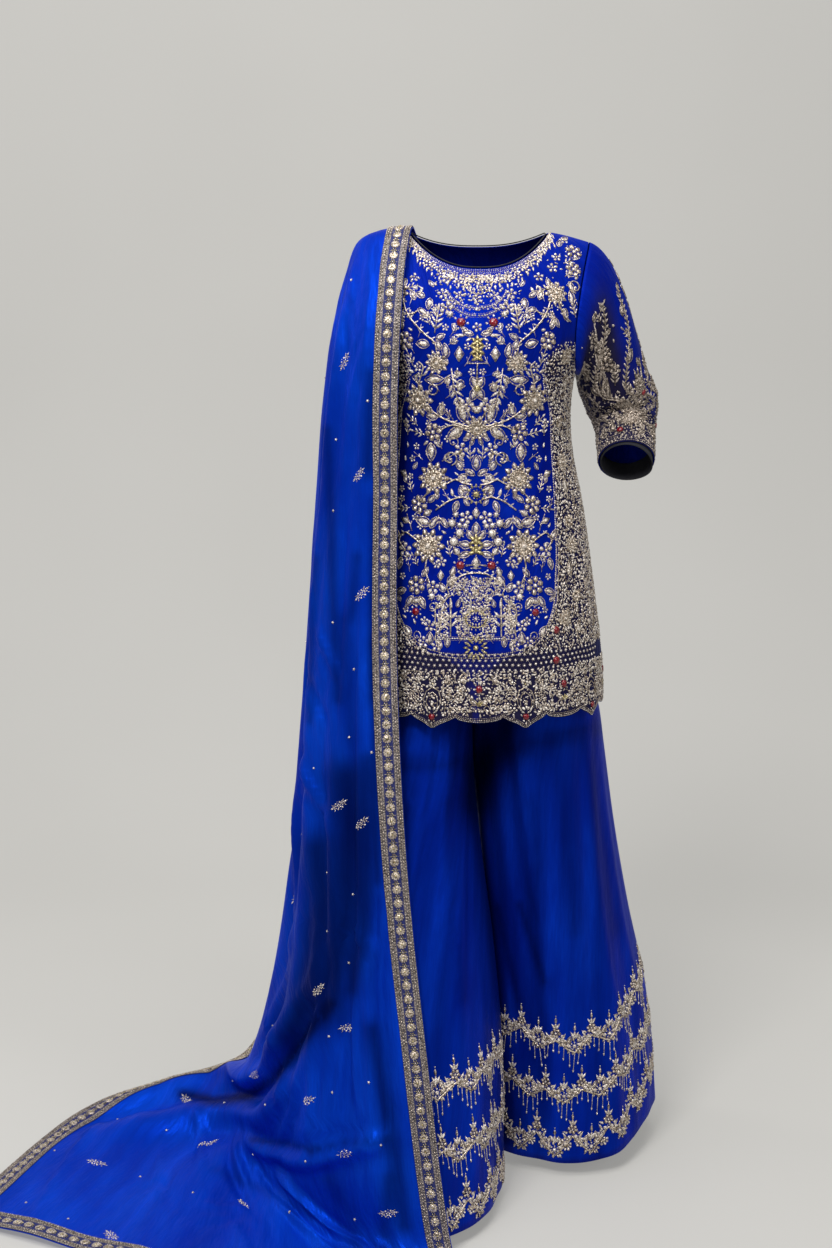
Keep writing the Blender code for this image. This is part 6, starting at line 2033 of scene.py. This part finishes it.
leg_works = {}
for leg_name in ("left", "right"):
    made = Work(f"sharara_{leg_name}_needlework")
    for part, which in (("front", 0), ("back", 1)):
        chart = leg_charts[f"{leg_name}_{part}"]
        # share 0 is the side seam
        hand, side = (1.0 if leg_name == "left" else -1.0), (-1.0 if part == "front" else 1.0)
        ends = 1.0 if hand * side > 0 else -1.0
        for number, heights in enumerate(LEG_ROWS[leg_name]):
            last = number == 2
            i, j, run, k = row_line(chart, heights[which], 0.034 if last else 0.020, 0.013 * number + (0.02 if leg_name == "left" else 0.035), ends)
            made.line(chart, i[::3], j[::3], 0.0017)
            a, b = chart.shift(i[::3], j[::3], np.zeros(140), np.full(140, 0.0034))
            made.beads(chart, a, b, 0.0034, dot(0.0013, PEARLS, 4, 0.9))
            a, b = chart.shift(i[::3], j[::3], np.zeros(140), np.full(140, -0.0020))
            made.beads(chart, a, b, 0.0038, dot(0.0009, SILVERS, 4, 0.9))
            whole = run[-1]
            for step, shape, at_k, rise in ((0.5, LOTUS, 0.5, 0.010), (0.0, FINIAL, 0.0, 0.0055)):
                spots = np.arange(at_k * PITCH - (0.013 * number + (0.02 if leg_name == "left" else 0.035)) - PITCH, whole, PITCH)
                spots = spots[(spots > 0.006) & (spots < whole - 0.006)]
                si, sj = np.interp(spots, run, i), np.interp(spots, run, j)
                si, sj = chart.shift(si, sj, np.zeros(len(si)), np.full(len(si), rise))
                made.put(chart, si, sj, shape, 90.0, 1.32 if shape is LOTUS else 1.42, lift=0.0010)
            for off, kind, turn, rise in (
                (0.27, "flower7", 30, 0.0066), (0.73, "flower7", 10, 0.0066), (0.15, "leaf14", 60, 0.0040), (0.85, "leaf14", 120, 0.0040), (0.36, "dome3", 0, 0.0056), (0.64, "dome3", 0, 0.0056),
                (0.20, "flower6", 0, 0.0058), (0.80, "flower6", 20, 0.0058), (0.33, "leaf12", 75, 0.0080), (0.67, "leaf12", 105, 0.0080), (0.09, "dome3", 0, 0.0046), (0.91, "dome3", 0, 0.0046),
            ):
                if part == "back" and kind in ("dome3", "leaf12", "leaf14"):
                    continue
                spots = np.arange(off * PITCH - (0.013 * number + (0.02 if leg_name == "left" else 0.035)) - PITCH, whole, PITCH)
                spots = spots[(spots > 0.004) & (spots < whole - 0.004)]
                si, sj = np.interp(spots, run, i), np.interp(spots, run, j)
                si, sj = chart.shift(si, sj, np.zeros(len(si)), np.full(len(si), rise))
                made.put(chart, si, sj, {"flower7": ROW_LARGE, "flower6": ROW_SMALL, "dome3": ROW_BEAD}.get(kind, SHAPES[kind]), turn, 1.05, lift=0.0008)
            if not last:
                spots = np.arange(0.004, whole - 0.004, 0.0082 if part == "front" else 0.0120)
                si, sj, sk = np.interp(spots, run, i), np.interp(spots, run, j), np.interp(spots, run, np.abs(2 * k - 1))
                size = np.clip(((1 - sk) * 3.4 + CHANCE.uniform(-0.4, 0.4, len(spots))).astype(int), 0, 3)
                for t in range(4):
                    if (size == t).any():
                        made.put(chart, si[size == t], sj[size == t], TASSELS[t], -90 + CHANCE.normal(0, 3, (size == t).sum()), 1.0, lift=0.0006)
    leg_works[leg_name] = made

# ---------------------------------------------------------------- the dupatta's border and scattered work

RIGHT_SIDE = VEIL / 2 + LAY + TRIM / 2


def strip(name, points, first, last, out):
    """A border band between two distances from a long edge of the dupatta, wide enough for its own columns."""
    return shell(name, lifted(points[:, first:last], out), TRIM, NAVY)


def edge_grid(points, side, stations, wide=BAND, columns=12):
    """The dupatta read again over the width of its band along one long edge."""
    rows = []
    for row in points:
        rows.append(along_row(row, (lambda length: np.linspace(0.0006, wide, columns)) if side > 0 else (lambda length: np.linspace(length - wide, length - 0.0006, columns))))
    return np.stack(rows)


def end_grid(points, wide, columns, trim_in, trim_out):
    """The same over its last rows."""
    cols = []
    for c in range(points.shape[1]):
        cols.append(along_row(points[:, c], lambda length: np.linspace(length - wide, length - 0.0006, columns)))
    grid_points = np.stack(cols, axis=1)
    rows = []
    for row in grid_points:
        rows.append(along_row(row, lambda length: np.linspace(trim_in, length - trim_out, grid_points.shape[1])))
    return np.stack(rows)


floor_row = int(np.searchsorted(front_stations, FLOOR_STATION - 1.2))
outer_from = int(np.searchsorted(front_stations, 6.75))
bands = {
    "band_inner_edge_net": (lifted(edge_grid(veil_front, 1, front_stations), RIGHT_SIDE), 1.0),
    "band_outer_edge_net": (lifted(edge_grid(veil_front, -1, front_stations)[outer_from:], RIGHT_SIDE), 1.0),
    "band_train_end_net": (lifted(end_grid(veil_front, BAND, 12, BAND + 0.001, BAND + 0.001), RIGHT_SIDE), 1.0),
    "band_back_edge_net": (lifted(edge_grid(veil_back, 1, back_stations), -RIGHT_SIDE - 0.0005), -1.0),
    "band_back_end_net": (lifted(end_grid(veil_back, BAND, 12, BAND + 0.001, 0.001), -RIGHT_SIDE - 0.0005), -1.0),
}
BORDER_FLOWER = together(
    [dome(0.0066, SILVERS, 12, 0.16)]
    + ringed(11, 0.0058, dot(0.0014, PEARLS, 5, 0.9), 0)
    + [turned(s, rise=0.0004) for s in ringed(8, 0.0022, petal(0.0032, 0.0024, PEARLS, 0.5), 0)]
    + [turned(dome(0.0018, GOLDS, 6, 0.9), rise=0.0006)]
)
BORDER_SMALL = together(ringed(6, 0.0012, petal(0.0032, 0.0026, GOLDS, 0.5), 0) + [turned(dome(0.0014, PEARLS, 6, 0.9), rise=0.0004)])
STRIPE = leaf(0.0046, 0.0032, SILVERS, 0.5, -0.0023)
STRIPE_BEAD = dot(0.0013, PEARLS, 4, 0.9)


def band_work(name, points, out, lengthwise):
    """Beaded stripes along both edges of a band and round flowers down its dark centre."""
    grid_points = points if lengthwise else np.transpose(points, (1, 0, 2))[:, ::-1]
    chart = Chart(grid_points, out=1.0, up=-1.0)
    if out < 0:
        chart.n = -chart.n
    made = Work(name)
    rows, cols = chart.rows, chart.cols
    ribbon = np.arange(0, rows - 1, 0.5)
    wide = np.median(chart.u[:, -1])
    column_at = lambda metres_in: metres_in / wide * (cols - 1)
    for offset, pitch, shape in (
        (0.0014, 0.0039, STRIPE_BEAD), (0.0045, 0.0052, STRIPE), (0.0078, 0.0041, STRIPE_BEAD),
        (wide - 0.0078, 0.0040, STRIPE_BEAD), (wide - 0.0045, 0.0053, STRIPE), (wide - 0.0014, 0.0038, STRIPE_BEAD),
    ):
        made.beads(chart, ribbon, np.full(len(ribbon), column_at(offset)), pitch * (1.3 if "back" in name else 1.0), shape, jitter=0.00015)
    middle = np.full(len(ribbon), (cols - 1) / 2)
    made.beads(chart, ribbon, middle, 0.0200, BORDER_FLOWER, turn=15.0)
    p = chart.read(chart.p, ribbon, middle)
    run = np.concatenate([[0], np.cumsum(np.linalg.norm(np.diff(p, axis=0), axis=1))])
    keep = run > 0.010
    made.beads(chart, ribbon[keep], middle[keep], 0.0200, BORDER_SMALL, turn=0.0)
    for side in (-1, 1):
        made.beads(chart, ribbon[keep], np.full(keep.sum(), (cols - 1) / 2 + side * column_at(0.0056)), 0.0200, dot(0.0009, PEARLS, 4, 0.9))
    return made


def across_stripe(faces, u, v, cols):
    """The woven metal stripes on the band's two sides."""
    at = u.ravel()[faces].mean(axis=1)
    return ((at < 0.0098) | (at > BAND - 0.0098)).astype(int)


def along_stripe(faces, u, v, cols):
    at = (v[-1:] - v).ravel()[faces].mean(axis=1)
    return ((at < 0.0098) | (at > BAND - 0.0098)).astype(int)


nets, net_works = {}, {}
for name, (points, out) in bands.items():
    nets[name] = shell(name, points, TRIM, [NAVY, WOVEN], second=across_stripe if name not in ("band_train_end_net", "band_back_end_net") else along_stripe)
    made = band_work(name.replace("_net", "_beads"), points, out, name not in ("band_train_end_net", "band_back_end_net"))
    net_works[name] = made

DOTS = [(0.73, 0.535), (1.14, 0.605), (1.69, 0.203), (2.0, 0.495), (2.59, 0.487), (2.63, 0.145), (3.49, 0.425), (3.85, 0.253), (4.44, 0.27), (4.54, 0.138), (4.8, 0.517), (5.56, 0.715), (5.71, 0.372), (5.88, 0.253), (6.23, 0.367), (6.46, 0.265), (7.48, 0.752), (7.3, 0.487), (7.07, 0.325), (8.44, 0.818), (9.05, 0.797), (8.01, 0.573), (7.54, 0.307), (7.36, 0.177), (10.55, 0.907), (10.19, 0.797), (11.19, 0.948), (9.02, 0.568), (8.24, 0.36), (7.84, 0.147), (10.97, 0.74), (10.84, 0.608), (11.72, 0.9), (11.74, 0.802), (10.05, 0.385), (8.84, 0.217)]
BUTIS = [(1.37, 0.453, 62), (2.29, 0.258, 50), (3.23, 0.21, 45), (5.06, 0.312, 32), (5.19, 0.185, 40), (6.22, 0.735, 70), (6.74, 0.395, 42), (6.99, 0.265, 8), (8.02, 0.73, 40), (9.68, 0.885, -12), (7.67, 0.385, 30), (11.12, 0.84, -8), (9.72, 0.7, 0), (8.02, 0.25, 20), (10.38, 0.502, -4), (8.59, 0.135, 4), (11.76, 0.708, -10)]
front_veil_chart = Chart(veil_front, up=-1.0)
BUTI = together(
    [turned(flower(0.0044, PEARLS, SILVERS, 5), at) for at in ((0, 0), (0.0085, 0.0012), (-0.0085, 0.0008))]
    + [turned(dome(0.0019, PEARLS, 6), at) for at in ((0.0045, 0.0050), (-0.0042, 0.0052), (0.0040, -0.0046), (-0.0044, -0.0046), (0.0140, 0.0014), (-0.0142, 0.0010))]
    + [turned(dot(0.0010), at) for at in ((0.0, 0.0072), (0.0, -0.0068), (0.0105, 0.0056), (-0.0108, -0.0040), (0.0170, 0.0016), (-0.0172, 0.0012))]
    + [turned(leaf(0.0052, 0.0022), (0.0095, 0.0040), 35), turned(leaf(0.0052, 0.0022), (-0.0095, 0.0040), 145), turned(leaf(0.0046, 0.0020), (0.0095, -0.0030), -35), turned(leaf(0.0046, 0.0020), (-0.0095, -0.0030), -145)]
)
LONE = together([dome(0.0019, PEARLS, 7, 0.8)] + ringed(5, 0.0020, dot(0.0007, SILVERS, 4)))


def facing_turn(chart, i, j, angle):
    """The turn on the cloth that looks from the front like an angle from the right, in degrees."""
    n = unit(chart.read(chart.n, i, j))
    up = chart.read(chart.di, i, j) * chart.up
    up = unit(up - n * (up * n).sum(-1, keepdims=True))
    right = np.cross(up, n)
    tilt = math.radians(11.4)
    across, above = np.array([1.0, 0.0, 0.0]), np.array([0.0, math.sin(tilt), math.cos(tilt)])
    a, b, c, d = right @ across, up @ across, right @ above, up @ above
    want_x, want_y = np.cos(np.radians(angle)), np.sin(np.radians(angle))
    det = a * d - b * c
    return np.degrees(np.arctan2((a * want_y - c * want_x) / det, (d * want_x - b * want_y) / det))


scatter = Work("dupatta_scattered_work")
station_row = lambda s: np.interp(s, front_stations, np.arange(len(front_stations)))
share_col = lambda c: np.asarray(c, float) * (FALL_COUNT - 1)
table = np.array(DOTS)
scatter.put(front_veil_chart, station_row(table[:, 0]), share_col(table[:, 1]), LONE, 0, 1.0, lift=0.0006)
table = np.array(BUTIS)
rows_at, cols_at = station_row(table[:, 0]), share_col(table[:, 1])
scatter.put(front_veil_chart, rows_at, cols_at, BUTI, facing_turn(front_veil_chart, rows_at, cols_at, table[:, 2]), np.where(table[:, 0] > 9, 1.05, 0.85), lift=0.0006)
back_veil_chart = Chart(veil_back, up=-1.0)
back_veil_chart.n = -back_veil_chart.n
spots = [(s, c) for k, s in enumerate(np.arange(0.9, 6.2, 0.62)) for c in ((0.30, 0.62, 0.88) if k % 2 else (0.18, 0.46, 0.76))]
table = np.array(spots)
rows_at = np.interp(table[:, 0], back_stations, np.arange(len(back_stations)))
scatter.put(back_veil_chart, rows_at[::2], table[::2, 1] * (back_veil_chart.cols - 1), BUTI, 20, 1.0, lift=0.0006)
scatter.put(back_veil_chart, rows_at[1::2], table[1::2, 1] * (back_veil_chart.cols - 1), LONE, 0, 1.0, lift=0.0006)

# ---------------------------------------------------------------- pieces told to the frame

made_pieces = {}
for gathered in [work, sides, hem_work, left_work, right_work, scatter] + list(leg_works.values()) + list(net_works.values()):
    made_pieces[gathered.name] = gathered.piece()


def belongs(piece, slot, *nodes):
    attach(piece, "root")
    if nodes:
        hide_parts(*nodes)


belongs(kurti_front, "embroidered_silk", "kurti_front")
belongs(kurti_back, "royal_blue_silk", "kurti_back")
belongs(sleeve_left, "embroidered_silk", "sleeve_left")
belongs(sleeve_right, "embroidered_silk", "sleeve_right")
belongs(cuff_lining, "black_lining", "cuff_lining_left")
belongs(neck_binding, "black_lining", "neck_binding")
belongs(waistband, "royal_blue_silk", "sharara_waistband")
for name, piece in legs.items():
    belongs(piece, "royal_blue_silk", f"sharara_{name}")
belongs(dupatta_front, "royal_blue_dupatta", "dupatta_front_fall", "dupatta_train")
belongs(dupatta_back, "royal_blue_dupatta", "dupatta_back_fall")
for name, piece in nets.items():
    belongs(piece, "silver_thread_band", name.replace("_net", ""))
for name, piece in made_pieces.items():
    belongs(piece, "embroidered_silk" if name.startswith(("kurti", "sleeve")) else "silver_thread_band")

for name, piece in nets.items():
    "dupatta_front_cloth" if "back" not in name else "dupatta_back_cloth"

# ---------------------------------------------------------------- floor, light and camera


def stage_mesh():
    """A pale floor that curves up into a wall."""
    profile = [(-6.0, 0.0), (1.2, 0.0)] + [(1.2 + 1.2 * math.sin(a), 1.2 - 1.2 * math.cos(a)) for a in np.linspace(0.08, math.pi / 2, 18)] + [(2.4, 6.0)]
    points = [(x, y, z - SHOULDER_HEIGHT) for y, z in profile for x in (-6.0, 6.0)]
    faces = [(2 * k, 2 * k + 1, 2 * k + 3, 2 * k + 2) for k in range(len(profile) - 1)]
    material, tree, shader = tree_of("pale_backdrop")
    place = node(tree, "ShaderNodeTexCoord").outputs["Object"]
    grain = noise(tree, place, 1.3, (1, 1, 1), 2.0)
    tree.links.new(mix_colour(tree, BACKDROP[0], BACKDROP[1], grain), shader.inputs["Base Color"])
    shader.inputs["Roughness"].default_value = 0.9
    shader.inputs["Specular IOR Level"].default_value = 0.1
    shader.inputs["Emission Color"].default_value = (0.578, 0.571, 0.546, 1)
    shader.inputs["Emission Strength"].default_value = 0.43
    return mesh_of("backdrop", points, faces, [material])


BACKDROP = ((0.330, 0.326, 0.314), (0.318, 0.314, 0.302))
backdrop = stage_mesh()


def lamp(name, spot, aim, size, power, colour):
    light = bpy.data.lights.new(name, "AREA")
    light.shape, light.size, light.size_y = "RECTANGLE", size[0], size[1]
    light.energy, light.color = power, colour
    holder = bpy.data.objects.new(name, light)
    bpy.context.scene.collection.objects.link(holder)
    holder.location = (spot[0], spot[1], spot[2] - SHOULDER_HEIGHT)
    direction = np.array(spot, float) - np.array(aim, float)
    yaw, pitch = math.atan2(direction[0], -direction[1]), math.atan2(direction[2], math.hypot(direction[0], direction[1]))
    holder.rotation_euler = Euler((math.pi / 2 - pitch, 0, yaw))
    return holder


lamp("key", (-1.0, -2.3, 3.5), (0.0, 0.0, 1.20), (1.1, 0.9), 92, (1.0, 0.985, 0.96))
lamp("fill", (2.4, -2.6, 2.6), (0.1, 0.0, 1.0), (0.8, 1.6), 26, (0.97, 0.985, 1.0))
lamp("top", (-0.2, -0.7, 4.0), (-0.1, -0.1, 0.6), (2.4, 1.8), 80, (1.0, 0.99, 0.97))
lamp("rim", (-2.8, 1.2, 2.6), (-0.2, 0.0, 0.9), (0.6, 1.8), 15, (1.0, 1.0, 1.0))
world = bpy.data.worlds.new("soft_room")
world.use_nodes = True
world.node_tree.nodes["Background"].inputs[0].default_value = (0.80, 0.79, 0.77, 1)
world.node_tree.nodes["Background"].inputs[1].default_value = 0.26
bpy.context.scene.world = world
bpy.context.scene.view_settings.view_transform = "Standard"
bpy.context.scene.view_settings.look = "None"

eye = bpy.data.cameras.new("eye")
eye.lens, eye.sensor_fit, eye.sensor_height, eye.sensor_width = 50.0, "VERTICAL", 36.0, 36.0
camera = bpy.data.objects.new("eye", eye)
bpy.context.scene.collection.objects.link(camera)
camera.location = (-0.09153, -2.6, 1.40 - SHOULDER_HEIGHT)
camera.rotation_euler = Euler((math.radians(90 - 11.4), 0, 0))
bpy.context.scene.camera = camera
